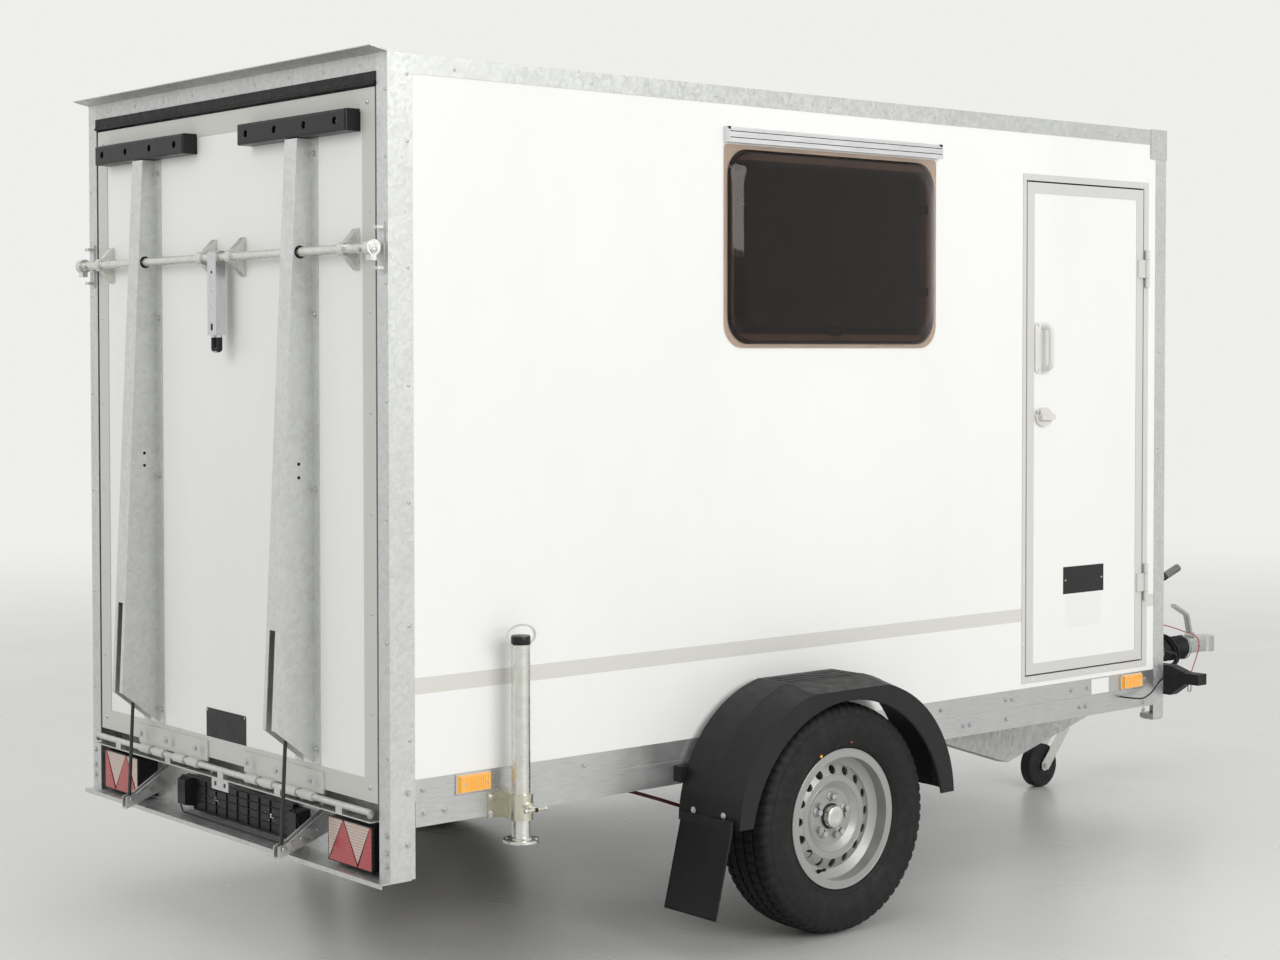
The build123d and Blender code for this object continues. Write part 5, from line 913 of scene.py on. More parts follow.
def build_fenders(sizes):
    """Grooved tops and side beads of the fenders, rolled edges, bolts at the feet and edges of the flaps."""
    bm = bmesh.new()
    bolts = bmesh.new()
    flaps = bmesh.new()
    for s in (-1, 1):
        path = [Vector((AXLE + x, s * 0.9545, z)) for x, z in fender_line(-0.0006)]
        add_tube(bm, path, sizes.fender_bead * 0.6, 8)
        for y in (0.866, 0.898, 0.930):
            points = [(-0.140, 0.0065), (-0.132, 0.0085), (0.132, 0.0085), (0.140, 0.0065)]
            low = [Vector((AXLE + x, s * (y - 0.0085), 0.7005 + z)) for x, z in points]
            ridge = [Vector((AXLE + x * 0.985, s * y, 0.7025 + z)) for x, z in points]
            high = [Vector((AXLE + x, s * (y + 0.0085), 0.7005 + z)) for x, z in points]
            under = [Vector((AXLE + x, s * y, 0.7000)) for x, z in points]
            add_loops(bm, [low, ridge, high, under], close=True)
        for end in (-1, 1):
            for y, heel in ((0.891, 0.4395), (1.001, 0.4303)):
                place = Vector((AXLE + end * heel, s * y, 0.386))
                add_hex_bolt(bolts, place, X * end, 0.0058, 0.0042, 0.0095)
        for fore in (-0.412, 0.412):
            for z in (0.462, 0.485):
                add_hex_bolt(bolts, Vector((AXLE + fore + 0.012, s * 0.834, z)), Y * s, 0.0055, 0.004, 0.009)
        lip = arc_through((0.372, 0.352), (0, 0.661), (-0.372, 0.352), 32)
        arch = [Vector((AXLE + x, s * 1.0505, z)) for x, z in lip]
        add_tube(bm, arch, 0.0038, 8)
        foot, head = Vector((AXLE - 0.4985, 0, 0.126)), Vector((AXLE - 0.4435, 0, 0.347))
        edge = [head + Y * s * 0.843, foot + Y * s * 0.843, foot + Y * s * 1.042, head + Y * s * 1.042]
        add_tube(flaps, edge, 0.0026, 8)
    make_piece("fender_beads", bm, "chassis", finishes["black"])
    make_piece("fender_bolts", bolts, "chassis", finishes["bolt"])
    make_piece("flap_edges", flaps, "chassis", finishes["flap"])


def tread_profile():
    """(across, radius, kind) from bead to bead of the tyre; kind 0 is wall, 1 shoulder, 2 groove, 3 block."""
    rows = [
        (0.0742, 0.1790, 0), (0.0765, 0.1970, 0), (0.0800, 0.1995, 0), (0.0868, 0.2080, 0), (0.0875, 0.2100, 0),
        (0.0928, 0.2205, 0), (0.0975, 0.2330, 0), (0.0992, 0.2430, 0), (0.0995, 0.2510, 0), (0.0996, 0.2535, 0),
        (0.0985, 0.2660, 0), (0.0965, 0.2790, 0), (0.0945, 0.2880, 0), (0.0936, 0.2930, 0), (0.0905, 0.3020, 1),
        (0.0870, 0.3085, 1), (0.0820, 0.3128, 1), (0.0740, 0.3160, 1), (0.0640, 0.3186, 1), (0.0570, 0.3200, 1),
        (0.0565, 0.3125, 2), (0.0480, 0.3125, 2), (0.0475, 0.3214, 3), (0.0300, 0.3226, 3), (0.0225, 0.3230, 3),
        (0.0220, 0.3150, 2), (0.0140, 0.3150, 2), (0.0135, 0.3233, 3), (0.0, 0.3234, 3),
    ]
    return rows + [(-a, r, k) for a, r, k in reversed(rows[:-1])]


def build_tyre(side, sizes):
    """Tyre with four grooves, sipes across its tread, fine rings on its walls and a bead line."""
    s = SIDES[side]
    steps = sizes.tread_pitches * 6
    bm = bmesh.new()
    loops = []
    for i in range(steps):
        phase = i % 6
        loop = []
        for across, radius, kind in tread_profile():
            shift = 0.0
            if kind == 1 and phase in (1, 2):
                radius -= 0.0042
            if kind == 3 and phase in (4, 5):
                radius -= 0.0034
                shift = 0.175 if across > 0 else -0.175
            loop.append(wheel_spot(s, radius, 2 * math.pi * (i + shift) / steps, across))
        loops.append(loop)
    add_loops(bm, loops, close=True)
    tyre = make_piece(f"tread_tyre_{side}", bm, f"wheel_{side}", finishes["tyre"], smooth=32)
    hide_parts(f"tyre_{side}")
    bm = bmesh.new()
    for radius, across in ((0.2870, 0.0947), (0.2100, 0.0875)):
        add_tube(bm, ring_points(wheel_spot(s, 0, 0, across), radius, 96), 0.0011, 6, close=True)
    for i in range(60):
        if not 3 <= i % 15 <= 10:
            angle = 2 * math.pi * (i + 0.25) / 60
            add_tube(bm, [wheel_spot(s, 0.2240, angle, 0.0940), wheel_spot(s, 0.2400, angle, 0.0984)], 0.0010, 6)
    make_piece(f"sidewall_rings_{side}", bm, f"wheel_{side}", finishes["tyre"])


def build_wheel(side):
    """Wheel bolts, hub cap with its black ring, valve, balance dots and rolled rim edge."""
    s = SIDES[side]
    body = f"wheel_{side}"
    way = Y * s
    bm = bmesh.new()
    for i in range(5):
        place = wheel_spot(s, 0.056, math.radians(90 + 72 * i), FACE_ACROSS)
        add_lathe(bm, [(0.0135, 0), (0.0135, 0.002), (0.0100, 0.006), (0, 0.0061)], place, way, 24)
        add_lathe(bm, [(0.0098, 0.004), (0.0098, 0.0135), (0.0085, 0.0160), (0, 0.0162)], place, way, 6, 0.2 * i)
    make_piece(f"wheel_bolts_{side}", bm, body, finishes["bolt"])
    bm = bmesh.new()
    profile = [
        (0.0312, 0.0), (0.0312, 0.0180), (0.0300, 0.0215), (0.0270, 0.0232), (0.0150, 0.0238),
        (0.0120, 0.0232), (0, 0.0232),
    ]
    add_lathe(bm, profile, wheel_spot(s, 0, 0, FACE_ACROSS), way, 48)
    make_piece(f"hub_cap_{side}", bm, body, finishes["plated"])
    bm = bmesh.new()
    add_tube(bm, ring_points(wheel_spot(s, 0, 0, FACE_ACROSS + 0.0025), 0.0335, 48), 0.0024, 8, close=True)
    make_piece(f"hub_ring_{side}", bm, body, finishes["smooth_black"])
    bm = bmesh.new()
    add_tube(bm, ring_points(wheel_spot(s, 0, 0, 0.0795), 0.1935, 96), 0.0024, 8, close=True)
    for radius, across in ((0.0790, 0.0300), (0.0985, 0.0418), (0.1175, 0.0418)):
        add_tube(bm, ring_points(wheel_spot(s, 0, 0, across), radius, 72), 0.0013, 6, close=True)
    make_piece(f"rim_edges_{side}", bm, body, finishes["rim"])
    bm = bmesh.new()
    angle = math.radians(246)
    root = wheel_spot(s, 0.158, angle, 0.046)
    tip = wheel_spot(s, 0.148, angle, 0.072)
    run = (tip - root).length
    profile = [
        (0.0062, 0), (0.0062, 0.004), (0.0038, 0.010), (0.0036, run * 0.62), (0.0044, run * 0.66),
        (0.0042, run), (0, run),
    ]
    add_lathe(bm, profile, root, tip - root, 16)
    make_piece(f"valve_{side}", bm, body, finishes["smooth_black"])
    # The yellow balance dot takes the amber lens finish, so it carries that finish's painted glow.
    for turn, radius, finish, word in ((84, 0.2150, "red", "red"), (117, 0.2090, "amber", "yellow")):
        bm = bmesh.new()
        place = wheel_spot(s, radius, math.radians(turn), 0.0872)
        add_lathe(bm, [(0.0042, 0), (0.0042, 0.0034), (0, 0.0036)], place, way, 18)
        make_piece(f"{word}_dot_{side}", bm, body, finishes[finish])


# Stands, lamps and markers


def build_steadies():
    """End caps, foot discs and clamp screws of the steady legs."""
    for side, s in SIDES.items():
        centre = spot(STEADY[0], s * STEADY[1], 0)
        bm = bmesh.new()
        profile = [(0.0248, 0.880), (0.0252, 0.8815), (0.0252, 0.8985), (0.0236, 0.9030), (0.0100, 0.9042), (0, 0.9042)]
        add_lathe(bm, profile, centre, Z, 32)
        make_piece(f"steady_cap_{side}", bm, f"steady_{side}", finishes["smooth_black"])
        bm = bmesh.new()
        add_lathe(bm, [(0.0290, 0.3841), (0.0276, 0.3858), (0.0250, 0.3870), (0.0243, 0.3874)], centre, Z, 32)
        for i in range(4):
            angle = math.radians(45 + 90 * i)
            place = centre + Vector((0.038 * math.cos(angle), 0.038 * math.sin(angle), 0.3840))
            add_dome(bm, place, Z, 0.004, 0.0016)
        make_piece(f"steady_foot_{side}", bm, f"steady_{side}", finishes["plated"])
        bm = bmesh.new()
        add_lathe(
            bm,
            [(0.0135, -0.001), (0.0140, 0.0015), (0.0140, 0.0105), (0.0125, 0.0125), (0, 0.0126)],
            spot(STEADY[0], s * 0.8940, CLAMP_HEIGHT), Y * s, 6, 0.4,
        )
        for i in range(-3, 4):
            add_lathe(
                bm,
                [(0.0063, 0), (0.0067, 0.0008), (0.0063, 0.0016)],
                spot(STEADY[0], s * (0.9165 + i * 0.0019), CLAMP_HEIGHT), Y * s, 14,
            )
        for end in (-1, 1):
            add_lathe(
                bm,
                [(0.0042, 0), (0.0056, 0.0008), (0.0056, 0.0046), (0.0046, 0.0060), (0, 0.0060)],
                spot(STEADY[0] + end * 0.0300, s * 0.9265, CLAMP_HEIGHT), X * end, 14,
            )
        for fore in (0.303, 0.400):
            for z in (0.446, 0.488):
                add_hex_bolt(bm, spot(fore, s * 0.8095, z), Y * s, 0.0058, 0.0044, 0.0098)
        make_piece(f"steady_clamp_screws_{side}", bm, "chassis", finishes["plated"])
        bm = bmesh.new()
        screw_end = spot(STEADY[0], s * 0.9283, CLAMP_HEIGHT)
        add_lathe(bm, [(0.0054, 0), (0.0054, 0.0022), (0, 0.0026)], screw_end, Y * s, 18)
        make_piece(f"steady_screw_end_{side}", bm, "chassis", finishes["smooth_black"])


def build_markers():
    """Grey bases, lens ribs and screws of the side markers; lenses and bolts of the front lamps."""
    bases = bmesh.new()
    screws = bmesh.new()
    ribs = bmesh.new()
    for s in (-1, 1):
        for fore in (0.250, 2.924):
            for a, b in ((0.5072, 0.5098), (0.5542, 0.5568)):
                add_block(bases, spot(fore - 0.0535, s * SIDE, a), spot(fore + 0.0535, s * (SIDE + 0.0042), b))
            for end in (-1, 1):
                low = spot(fore + end * 0.0508, s * SIDE, 0.5072)
                add_block(bases, low, spot(fore + end * 0.0535, s * (SIDE + 0.0042), 0.5568))
                add_dome(screws, spot(fore + end * 0.036, s * (SIDE + 0.0139), MARKER_HEIGHT), Y * s, 0.0032, 0.0014)
            for i in range(-4, 5):
                y = s * (SIDE + 0.0140)
                add_tube(ribs, [spot(fore + i * 0.006, y, 0.517), spot(fore + i * 0.006, y, 0.547)], 0.0009, 6)
    make_piece("marker_bases", bases, "chassis", finishes["trim"], 0.0005)
    make_piece("marker_screws", screws, "chassis", finishes["bolt"])
    make_piece("marker_ribs", ribs, "chassis", finishes["amber"])
    lenses = {"clear": bmesh.new(), "amber": bmesh.new()}
    bolts = bmesh.new()
    for s in (-1, 1):
        add_lathe(
            lenses["clear"],
            [(0.0150, -0.002), (0.0150, 0.0006), (0.0120, 0.0016), (0.0050, 0.0020), (0, 0.0020)],
            spot(3.1422, s * 0.9175, 0.533), X, 28,
        )
        add_lathe(
            lenses["amber"],
            [(0.0105, -0.002), (0.0105, 0.0004), (0.0080, 0.0012), (0, 0.0014)],
            spot(3.121, s * 0.9436, 0.533), Y * s, 24,
        )
        for y in (0.772, 0.812):
            for z in (0.555, 0.487):
                add_hex_bolt(bolts, spot(3.141, s * y, z), X, 0.0055, 0.0022, 0.009)
    for name, bm in lenses.items():
        make_piece(f"front_lamp_{name}", bm, "chassis", finishes[name])
    make_piece("front_lamp_bolts", bolts, "chassis", finishes["bolt"])


def build_coupling():
    """Grip, lever cap, bolts and end caps of the drawbar, handbrake, coupling and jockey wheel."""
    bm = bmesh.new()
    start, end = spot(3.850, 0, 0.620), spot(4.272, 0, 0.764)
    way = (end - start).normalized()
    run = (end - start).length
    profile = [(0.0148, run - 0.1005), (0.0152, run - 0.0985)]
    for i in range(9):
        along = run - 0.094 + i * 0.0102
        profile += [(0.0153, along), (0.0153, along + 0.0058), (0.0138, along + 0.0068), (0.0138, along + 0.0094)]
    profile += [(0.0152, run - 0.0015), (0.0120, run - 0.0002), (0, run - 0.0001)]
    add_lathe(bm, [(0, run - 0.101)] + profile, start, way, 28)
    make_piece("handbrake_grip", bm, "chassis", finishes["rubber"])
    bm = bmesh.new()
    for s in (-1, 1):
        add_hex_bolt(bm, spot(3.850, s * 0.038, 0.620), Y * s, 0.0085, 0.006, 0.014)
        for fore in (3.815, 3.885):
            add_hex_bolt(bm, spot(fore, s * 0.038, 0.480), Y * s, 0.0052, 0.0038, 0.0085)
        large, small = (0.0075, 0.0055, 0.012), (0.007, 0.0052, 0.0115)
        for fores, head in (((3.775, 3.905, 4.012), large), ((3.512, 3.568), small)):
            for fore in fores:
                add_hex_bolt(bm, spot(fore, s * (0.040 + (4.050 - fore) * 0.328), 0.462), Z, *head)
        add_hex_bolt(bm, spot(4.352, s * 0.015, 0.486), Y * s, 0.0068, 0.005, 0.0115)
        add_hex_bolt(bm, spot(4.375, s * 0.031, 0.448), Y * s, 0.0062, 0.005, 0.0105)
    make_piece("drawbar_bolts", bm, "chassis", finishes["bolt"])
    bm = bmesh.new()
    profile = [(0.0112, 0), (0.0116, 0.002), (0.0120, 0.020), (0.0116, 0.056), (0.0100, 0.0605), (0, 0.0606)]
    add_lathe(bm, profile, spot(3.624, 0, 0.7425), Z, 24)
    make_piece("crank_grip", bm, "chassis", finishes["smooth_black"])
    bm = bmesh.new()
    for z in (0.3320, 0.7060):
        add_lathe(bm, [(0.0252, 0), (0.0264, 0.0015), (0.0264, 0.0105), (0.0252, 0.012)], spot(JOCKEY, 0, z), Z, 36)
    add_lathe(bm, [(0.0060, 0), (0.0060, 0.013), (0.0040, 0.016), (0, 0.016)], spot(JOCKEY, 0.0245, 0.510), Y, 16)
    for s in (-1, 1):
        for dx in (-0.028, 0.028):
            add_hex_bolt(bm, spot(JOCKEY + dx, s * 0.055, 0.462), Z, 0.0055, 0.0042, 0.0092)
    make_piece("jockey_collars", bm, "chassis", finishes["plated"])
    bm = bmesh.new()
    wheel = spot(3.423, 0, 0.080)
    for s in (-1, 1):
        add_hex_bolt(bm, wheel + Y * (s * 0.0320), Y * s, 0.0078, 0.0055, 0.0125)
    make_piece("jockey_fork_bolt", bm, "jockey_swivel", finishes["bolt"])
    bm = bmesh.new()
    for s in (-1, 1):
        for radius, out in ((0.064, 0.0004), (0.050, -0.0002), (0.024, 0.0004)):
            add_tube(bm, ring_points(wheel + Y * (s * (0.0214 + out)), radius, 64), 0.0014, 6, close=True)
        for i in range(6):
            angle = math.pi * i / 3
            along = Vector((math.cos(angle), 0, math.sin(angle)))
            add_tube(bm, [wheel + along * 0.026 + Y * s * 0.0215, wheel + along * 0.048 + Y * s * 0.0215], 0.0022, 8)
    make_piece("jockey_wheel_rings", bm, "jockey_roller", finishes["smooth_black"])
    bm = bmesh.new()
    for z in (0.4205, 0.4650):
        add_tube(bm, ring_points(spot(4.447, 0, z), 0.0386, 48, X, Y), 0.0013, 6, close=True)
    make_piece("coupling_lips", bm, "chassis", finishes["coupling"])
    bm = bmesh.new()
    for fore in (4.1205, 4.2995):
        add_tube(bm, ring_points(spot(fore, 0, 0.445), 0.0470, 48, Y, Z), 0.0024, 8, close=True)
    make_piece("boot_clips", bm, "chassis", finishes["bolt"])


# Cords

LEAD_ROUTE = (
    (3.1033, 0.330, 0.473),
    (3.152, 0.330, 0.470),
    (3.225, 0.311, 0.459),
    (3.305, 0.283, 0.458),
    (3.395, 0.262, 0.4585),
    (3.480, 0.226, 0.4685),
    (3.570, 0.206, 0.469),
    (3.660, 0.162, 0.463),
    (3.745, 0.142, 0.4685),
    (3.835, 0.106, 0.469),
    (3.930, 0.092, 0.4685),
    (4.020, 0.084, 0.4685),
    (4.100, 0.074, 0.457),
    (4.140, 0.065, 0.446),
    (4.1716, 0.0615, 0.4373),
)
LEAD_TAIL = (
    (4.1716, -0.0695, 0.4373),
    (4.128, -0.072, 0.446),
    (4.062, -0.076, 0.466),
    (3.986, -0.066, 0.4825),
)
BREAKAWAY_ROUTE = (
    (3.9003, -0.0355, 0.560),
    (3.945, -0.036, 0.562),
    (4.015, -0.038, 0.566),
    (4.095, -0.038, 0.558),
    (4.170, -0.036, 0.541),
    (4.240, -0.031, 0.522),
    (4.292, -0.022, 0.507),
    (4.326, -0.028, 0.500),
    (4.338, -0.052, 0.482),
    (4.314, -0.074, 0.454),
    (4.286, -0.082, 0.418),
    (4.264, -0.081, 0.378),
    (4.250, -0.075, 0.338),
)
COIL_CENTRE = (4.185, 0.0, 0.4403)
COIL_LEAN = math.radians(15)


def coil_points():
    """Turns of the lead round the bellows: two on the inside, then one and a half over them."""
    centre = spot(*COIL_CENTRE)
    upwards = Vector((-math.sin(COIL_LEAN), 0, math.cos(COIL_LEAN)))
    along = Vector((math.cos(COIL_LEAN), 0, math.sin(COIL_LEAN)))
    points = []
    per_turn = 16
    count = int(3.5 * per_turn)
    for i in range(1, count):
        turn = i / per_turn
        inside = turn <= 2.0
        radius = 0.0615 if inside else 0.0695
        if 1.9 < turn < 2.15:
            radius = 0.0615 + 0.008 * (turn - 1.9) / 0.25
        across = -0.008 + 0.016 * turn / 2.0 if inside else 0.008 - 0.016 * (turn - 2.0) / 1.5
        angle = -2 * math.pi * turn
        points.append(
            centre + Y * (radius * math.cos(angle)) + upwards * (radius * math.sin(angle)) + along * across
        )
    return points


def make_cord(name, points, radius, finish):
    curve = bpy.data.curves.new(name, "CURVE")
    curve.dimensions = "3D"
    curve.bevel_depth = radius
    curve.bevel_resolution = 4
    curve.resolution_u = 8
    curve.use_fill_caps = True
    spline = curve.splines.new("NURBS")
    spline.points.add(len(points) - 1)
    for point, place in zip(spline.points, points):
        point.co = (*place, 1)
    spline.order_u = 3
    spline.use_endpoint_u = True
    curve.materials.append(finish)
    cord = bpy.data.objects.new(name, curve)
    bpy.context.scene.collection.objects.link(cord)
    return cord


def build_cords(sizes):
    """Trailer lead wound on the bellows, with its plug and grommet, and the red breakaway cable."""
    body = "chassis"
    lead = make_cord(
        "trailer_lead",
        [spot(*p) for p in LEAD_ROUTE] + coil_points() + [spot(*p) for p in LEAD_TAIL],
        sizes.lead_thickness / 2,
        finishes["cable_black"],
    )
    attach(lead, body)
    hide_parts("lead_tube", "lead_coil")
    bm = bmesh.new()
    profile = [
        (0.0104, 0), (0.0108, 0.0014), (0.0104, 0.0030), (0.0076, 0.0042), (0.0070, 0.0100),
        (0.0054, 0.0220), (0.0043, 0.0222),
    ]
    exit_place = spot(3.1030, 0.330, 0.4730)
    add_lathe(bm, profile, exit_place, spot(*LEAD_ROUTE[1]) - exit_place, 24)
    make_piece("lead_grommet", bm, body, finishes["rubber"])
    bm = bmesh.new()
    plug = spot(3.9848, -0.066, 0.4825)
    profile = [(0, -0.0822), (0.0188, -0.0822), (0.0204, -0.0812), (0.0204, -0.0752), (0.0186, -0.0742)]
    for i in range(6):
        along = -0.068 + i * 0.0072
        profile += [(0.0184, along), (0.0190, along + 0.0014), (0.0190, along + 0.0040), (0.0184, along + 0.0054)]
    profile += [(0.0182, -0.0224), (0.0150, -0.0205), (0.0086, -0.0190)]
    profile += [(0.0082, -0.0100), (0.0062, -0.0010), (0.0044, 0.0)]
    add_lathe(bm, profile, plug, X, 32)
    for s in (-1, 1):
        add_lathe(bm, [(0.0030, 0), (0.0030, 0.001), (0, 0.0012)], plug - X * 0.030 + Z * (s * 0.0189), Z * s, 14)
    plug_body = make_piece("trailer_plug", bm, body, finishes["smooth_black"])
    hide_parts("lead_plug")
    breakaway = make_cord(
        "breakaway_line", [spot(*p) for p in BREAKAWAY_ROUTE], sizes.breakaway_thickness / 2, finishes["cable_red"]
    )
    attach(breakaway, body)
    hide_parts("breakaway_cable")


# Camera and studio


def place_camera():
    yaw, pitch, roll = (math.radians(a) for a in (49.9308, 1.6098, -0.0541))
    ahead = Vector((math.cos(yaw) * math.cos(pitch), math.sin(yaw) * math.cos(pitch), -math.sin(pitch)))
    right = ahead.cross(Z).normalized()
    above = right.cross(ahead)
    across = right * math.cos(roll) + above * math.sin(roll)
    upwards = above * math.cos(roll) - right * math.sin(roll)
    data = bpy.data.cameras.new("studio camera")
    data.lens = 62.40
    data.sensor_width = 36
    data.shift_y = -0.0510
    data.clip_end = 200
    camera = bpy.data.objects.new("studio camera", data)
    camera.matrix_world = Matrix(
        (
            (across.x, upwards.x, -ahead.x, -5.2117),
            (across.y, upwards.y, -ahead.y, -5.3559),
            (across.z, upwards.z, -ahead.z, 1.6206),
            (0, 0, 0, 1),
        )
    )
    bpy.context.scene.collection.objects.link(camera)
    bpy.context.scene.camera = camera
    bpy.context.scene.view_settings.view_transform = "Standard"


def backdrop_mix(nodes, links, lit, seen_colour):
    """Colour that shows pale to the eye and in reflections, and lights evenly otherwise."""
    path = nodes.new("ShaderNodeLightPath")
    seen = path.outputs["Is Camera Ray"]
    for ray in ("Is Glossy Ray", "Is Transmission Ray"):
        either = nodes.new("ShaderNodeMath")
        either.operation = "MAXIMUM"
        links.new(seen, either.inputs[0])
        links.new(path.outputs[ray], either.inputs[1])
        seen = either.outputs["Value"]
    mix = nodes.new("ShaderNodeMixRGB")
    links.new(seen, mix.inputs[0])
    mix.inputs[1].default_value = (lit, lit, lit, 1)
    mix.inputs[2].default_value = (*seen_colour, 1)
    return mix.outputs["Color"]


def studio_floor(studio):
    """Satin floor that turns into the backdrop's tone far from the trailer."""
    colour = tuple(studio.floor_colour)
    finish = new_finish("studio floor", colour, 0.24, specular=0.5)
    cloud = noise(finish, 0.35, 3.0)
    tint_by(finish, cloud, colour, (0.35, 0.975), (0.5, 1), (0.7, 1.015))
    rough_map(finish, noise(finish, 1.5, 2.0), 0.25, 0.31)
    nodes, links = finish.node_tree.nodes, finish.node_tree.links
    far = add_node(finish, "ShaderNodeVectorMath", operation="LENGTH")
    join(finish, place_map(finish), far.inputs[0])
    fade = add_node(finish, "ShaderNodeMapRange", interpolation_type="SMOOTHSTEP")
    fade.inputs["From Min"].default_value = 3.0
    fade.inputs["From Max"].default_value = 13.0
    join(finish, far.outputs["Value"], fade.inputs["Value"])
    glow = add_node(finish, "ShaderNodeEmission")
    join(finish, backdrop_mix(nodes, links, studio.sky_light, tuple(studio.backdrop_colour)), glow.inputs["Color"])
    blend = add_node(finish, "ShaderNodeMixShader")
    join(finish, fade.outputs["Result"], blend.inputs[0])
    join(finish, nodes["Principled BSDF"].outputs["BSDF"], blend.inputs[1])
    join(finish, glow.outputs["Emission"], blend.inputs[2])
    join(finish, blend.outputs["Shader"], nodes["Material Output"].inputs["Surface"])
    return finish


def add_area(name, place, target, size, power):
    data = bpy.data.lights.new(name, "AREA")
    data.shape = "RECTANGLE"
    data.size, data.size_y = size
    data.energy = power
    lamp = bpy.data.objects.new(name, data)
    lamp.location = place
    way = Vector(target) - Vector(place)
    lamp.rotation_euler = way.to_track_quat("-Z", "Y").to_euler()
    bpy.context.scene.collection.objects.link(lamp)


def build_studio(studio):
    """Pale floor, even sky light that shows pale behind the trailer, and a large soft lamp on each side."""
    bm = bmesh.new()
    half = 40.0
    corners = [bm.verts.new((x, y, -0.0005)) for x, y in ((-half, -half), (half, -half), (half, half), (-half, half))]
    bm.faces.new(corners)
    mesh = bpy.data.meshes.new("studio_floor")
    bm.to_mesh(mesh)
    bm.free()
    mesh.materials.append(studio_floor(studio))
    floor = bpy.data.objects.new("studio_floor", mesh)
    bpy.context.scene.collection.objects.link(floor)
    world = bpy.data.worlds.new("studio sky")
    world.use_nodes = True
    nodes, links = world.node_tree.nodes, world.node_tree.links
    background = nodes["Background"]
    links.new(
        backdrop_mix(nodes, links, studio.sky_light, tuple(studio.backdrop_colour)), background.inputs["Color"]
    )
    background.inputs["Strength"].default_value = 1.0
    bpy.context.scene.world = world
    add_area("side lamp", (-0.6, -9.0, 4.2), (0.2, 0, 1.0), (6.0, 4.0), studio.side_lamp)
    add_area("rear lamp", (-7.5, 1.2, 4.2), (-1.5, 0, 1.0), (4.0, 3.5), studio.rear_lamp)
    add_area("roof lamp", (0.5, 0.5, 7.5), (0, 0, 0), (6.0, 6.0), studio.roof_lamp)


# Settings, operators and panel


def colour_setting(name, description, default):
    return bpy.props.FloatVectorProperty(
        name=name, description=description, default=default, size=3, min=0.0, max=1.0, subtype="COLOR"
    )


def length_setting(name, description, default, low, high):
    return bpy.props.FloatProperty(
        name=name, description=description, default=default, min=low, max=high, precision=4, unit="LENGTH"
    )


class TrailerLook(bpy.types.PropertyGroup):
    """Colours of the trailer's sheets, metal and plastic"""

    panel_colour: colour_setting("Panels", "Colour of the laminated walls, roof, door and ramp", (0.905, 0.905, 0.885))
    zinc_colour: colour_setting("Zinc", "Colour of the galvanised sheet and beams", (0.60, 0.61, 0.60))
    stripe_colour: colour_setting("Stripe", "Colour of the foil band along the walls", (0.70, 0.69, 0.645))
    fender_colour: colour_setting("Fenders", "Colour of the moulded fenders", (0.012, 0.012, 0.0125))


class TrailerSizes(bpy.types.PropertyGroup):
    """Sizes of the fittings that dress the trailer"""

    stripe_foot: length_setting("Stripe foot", "Height of the stripe's lower edge", 0.772, 0.6, 1.2)
    stripe_height: length_setting("Stripe height", "Height of the foil band", 0.041, 0.01, 0.1)
    pane_bulge: length_setting("Pane bulge", "How far the window's face stands off the wall", 0.0255, 0.01, 0.0259)
    lens_proud: length_setting("Lens relief", "How far the lamp lenses stand off their housing", 0.0032, 0.001, 0.006)
    fender_bead: length_setting("Fender bead", "Radius of the beads on the fenders", 0.0024, 0.001, 0.004)
    tread_pitches: bpy.props.IntProperty(
        name="Tread pitches", description="Tread blocks around each tyre", default=66, min=40, max=90
    )
    lead_thickness: length_setting("Lead", "Diameter of the trailer lead", 0.008, 0.006, 0.012)
    breakaway_thickness: length_setting("Breakaway cable", "Diameter of the breakaway cable", 0.004, 0.002, 0.006)


class TrailerStudio(bpy.types.PropertyGroup):
    """Floor, backdrop and light of the studio"""

    floor_colour: colour_setting("Floor", "Colour of the studio floor", (0.70, 0.70, 0.68))
    backdrop_colour: colour_setting("Backdrop", "Colour behind the trailer", (0.86, 0.86, 0.845))
    sky_light: bpy.props.FloatProperty(
        name="Sky light", description="Level of the even light from all round", default=0.62, min=0.0, max=2.0
    )
    side_lamp: bpy.props.FloatProperty(
        name="Side lamp", description="Power of the soft lamp on the door's side", default=350.0, min=0.0, unit="POWER"
    )
    rear_lamp: bpy.props.FloatProperty(
        name="Rear lamp", description="Power of the soft lamp behind the ramp", default=90.0, min=0.0, unit="POWER"
    )
    roof_lamp: bpy.props.FloatProperty(
        name="Roof lamp", description="Power of the soft lamp overhead", default=90.0, min=0.0, unit="POWER"
    )


class TRAILER_OT_finishes(bpy.types.Operator):
    """Make the finishes and put them on the trailer's own parts"""

    bl_idname = "trailer.finishes"
    bl_label = "Finishes"

    def execute(self, context):
        make_finishes(context.scene.trailer_look)
        finish_nodes()
        return {"FINISHED"}


class TRAILER_OT_cords(bpy.types.Operator):
    """Wind the trailer lead on its bellows and hang the breakaway cable"""

    bl_idname = "trailer.cords"
    bl_label = "Cords"

    def execute(self, context):
        build_cords(context.scene.trailer_sizes)
        return {"FINISHED"}


class TRAILER_OT_body(bpy.types.Operator):
    """Add the body's stripes, bolts, rivets and seals"""

    bl_idname = "trailer.body"
    bl_label = "Body trim"

    def execute(self, context):
        build_stripes(context.scene.trailer_sizes)
        build_body_bolts()
        build_seals()
        return {"FINISHED"}


class TRAILER_OT_window(bpy.types.Operator):
    """Build the smoked side window and its clips"""

    bl_idname = "trailer.window"
    bl_label = "Side window"

    def execute(self, context):
        build_window(context.scene.trailer_sizes)
        return {"FINISHED"}


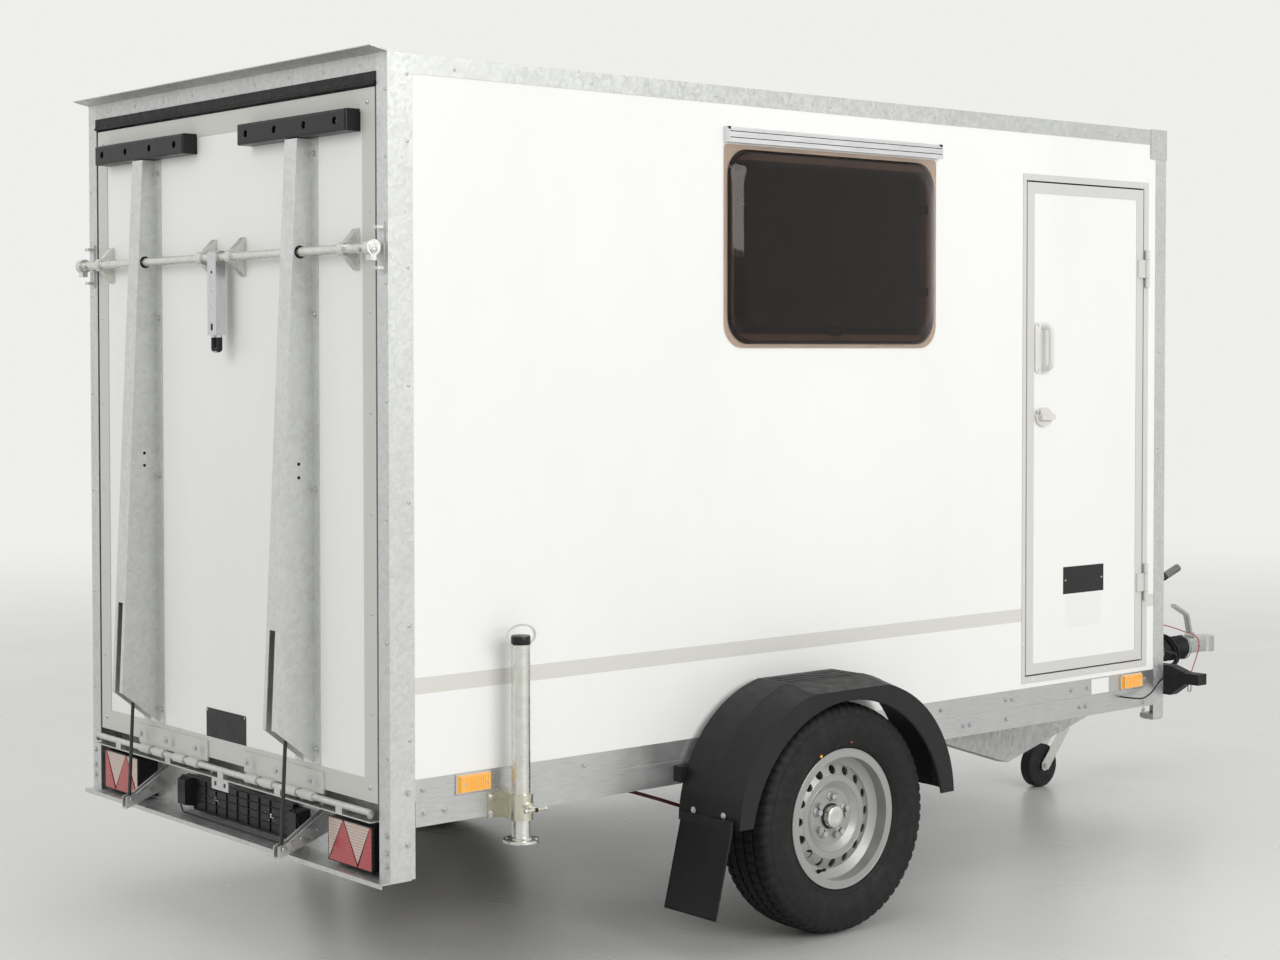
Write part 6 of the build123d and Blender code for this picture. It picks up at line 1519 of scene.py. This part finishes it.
class TRAILER_OT_door(bpy.types.Operator):
    """Add the side door's blank plates, label, screws and key barrel"""

    bl_idname = "trailer.door"
    bl_label = "Side door"

    def execute(self, context):
        build_door()
        return {"FINISHED"}


class TRAILER_OT_ramp(bpy.types.Operator):
    """Add the ramp's bolts, plate and rail holes, and the lock bar's fittings"""

    bl_idname = "trailer.ramp"
    bl_label = "Ramp and lock"

    def execute(self, context):
        build_ramp()
        build_lock()
        return {"FINISHED"}


class TRAILER_OT_lamps(bpy.types.Operator):
    """Build the rear lamp lenses, the plate carrier's grid and the wire guard"""

    bl_idname = "trailer.lamps"
    bl_label = "Rear lamps"

    def execute(self, context):
        build_lamps(context.scene.trailer_sizes)
        return {"FINISHED"}


class TRAILER_OT_fenders(bpy.types.Operator):
    """Add the fenders' beads, rolled edges, bolts and flap edges"""

    bl_idname = "trailer.fenders"
    bl_label = "Fenders"

    def execute(self, context):
        build_fenders(context.scene.trailer_sizes)
        return {"FINISHED"}


class TRAILER_OT_wheels(bpy.types.Operator):
    """Build the treaded tyres and the wheels' bolts, caps and valves"""

    bl_idname = "trailer.wheels"
    bl_label = "Wheels"

    def execute(self, context):
        for side in SIDES:
            build_tyre(side, context.scene.trailer_sizes)
            build_wheel(side)
        return {"FINISHED"}


class TRAILER_OT_stands(bpy.types.Operator):
    """Add the steady legs' caps, feet and clamp screws"""

    bl_idname = "trailer.stands"
    bl_label = "Steady legs"

    def execute(self, context):
        build_steadies()
        return {"FINISHED"}


class TRAILER_OT_markers(bpy.types.Operator):
    """Add the side markers' bases and screws, and the front lamps' lenses"""

    bl_idname = "trailer.markers"
    bl_label = "Side and front lamps"

    def execute(self, context):
        build_markers()
        return {"FINISHED"}


class TRAILER_OT_coupling(bpy.types.Operator):
    """Add the grips, bolts, collars and rings of the drawbar, coupling and jockey wheel"""

    bl_idname = "trailer.coupling"
    bl_label = "Drawbar and coupling"

    def execute(self, context):
        build_coupling()
        return {"FINISHED"}


class TRAILER_OT_studio(bpy.types.Operator):
    """Set up the floor, the light and the camera"""

    bl_idname = "trailer.studio"
    bl_label = "Studio"

    def execute(self, context):
        place_camera()
        build_studio(context.scene.trailer_studio)
        return {"FINISHED"}


SETTINGS = (
    ("trailer_look", TrailerLook),
    ("trailer_sizes", TrailerSizes),
    ("trailer_studio", TrailerStudio),
)
OPERATORS = (
    TRAILER_OT_finishes,
    TRAILER_OT_studio,
    TRAILER_OT_cords,
    TRAILER_OT_body,
    TRAILER_OT_window,
    TRAILER_OT_door,
    TRAILER_OT_ramp,
    TRAILER_OT_lamps,
    TRAILER_OT_fenders,
    TRAILER_OT_wheels,
    TRAILER_OT_stands,
    TRAILER_OT_markers,
    TRAILER_OT_coupling,
)


class TRAILER_PT_build(bpy.types.Panel):
    """Settings and steps of the trailer's looks"""

    bl_label = "Cargo trailer"
    bl_space_type = "VIEW_3D"
    bl_region_type = "UI"
    bl_category = "Trailer"

    def draw(self, context):
        for name, kind in SETTINGS:
            box = self.layout.box()
            box.label(text=kind.__doc__)
            for key in kind.__annotations__:
                box.prop(getattr(context.scene, name), key)
        for step in OPERATORS:
            self.layout.operator(step.bl_idname)


def register():
    for kind in [kind for name, kind in SETTINGS] + [*OPERATORS, TRAILER_PT_build]:
        bpy.utils.register_class(kind)
    for name, kind in SETTINGS:
        setattr(bpy.types.Scene, name, bpy.props.PointerProperty(type=kind))


def unregister():
    for name, kind in SETTINGS:
        delattr(bpy.types.Scene, name)
    for kind in [TRAILER_PT_build, *reversed(OPERATORS)] + [kind for name, kind in reversed(SETTINGS)]:
        bpy.utils.unregister_class(kind)


def main():
    register()
    for step in OPERATORS:
        getattr(bpy.ops.trailer, step.bl_idname.split(".")[1])()


if __name__ == "__main__":
    main()
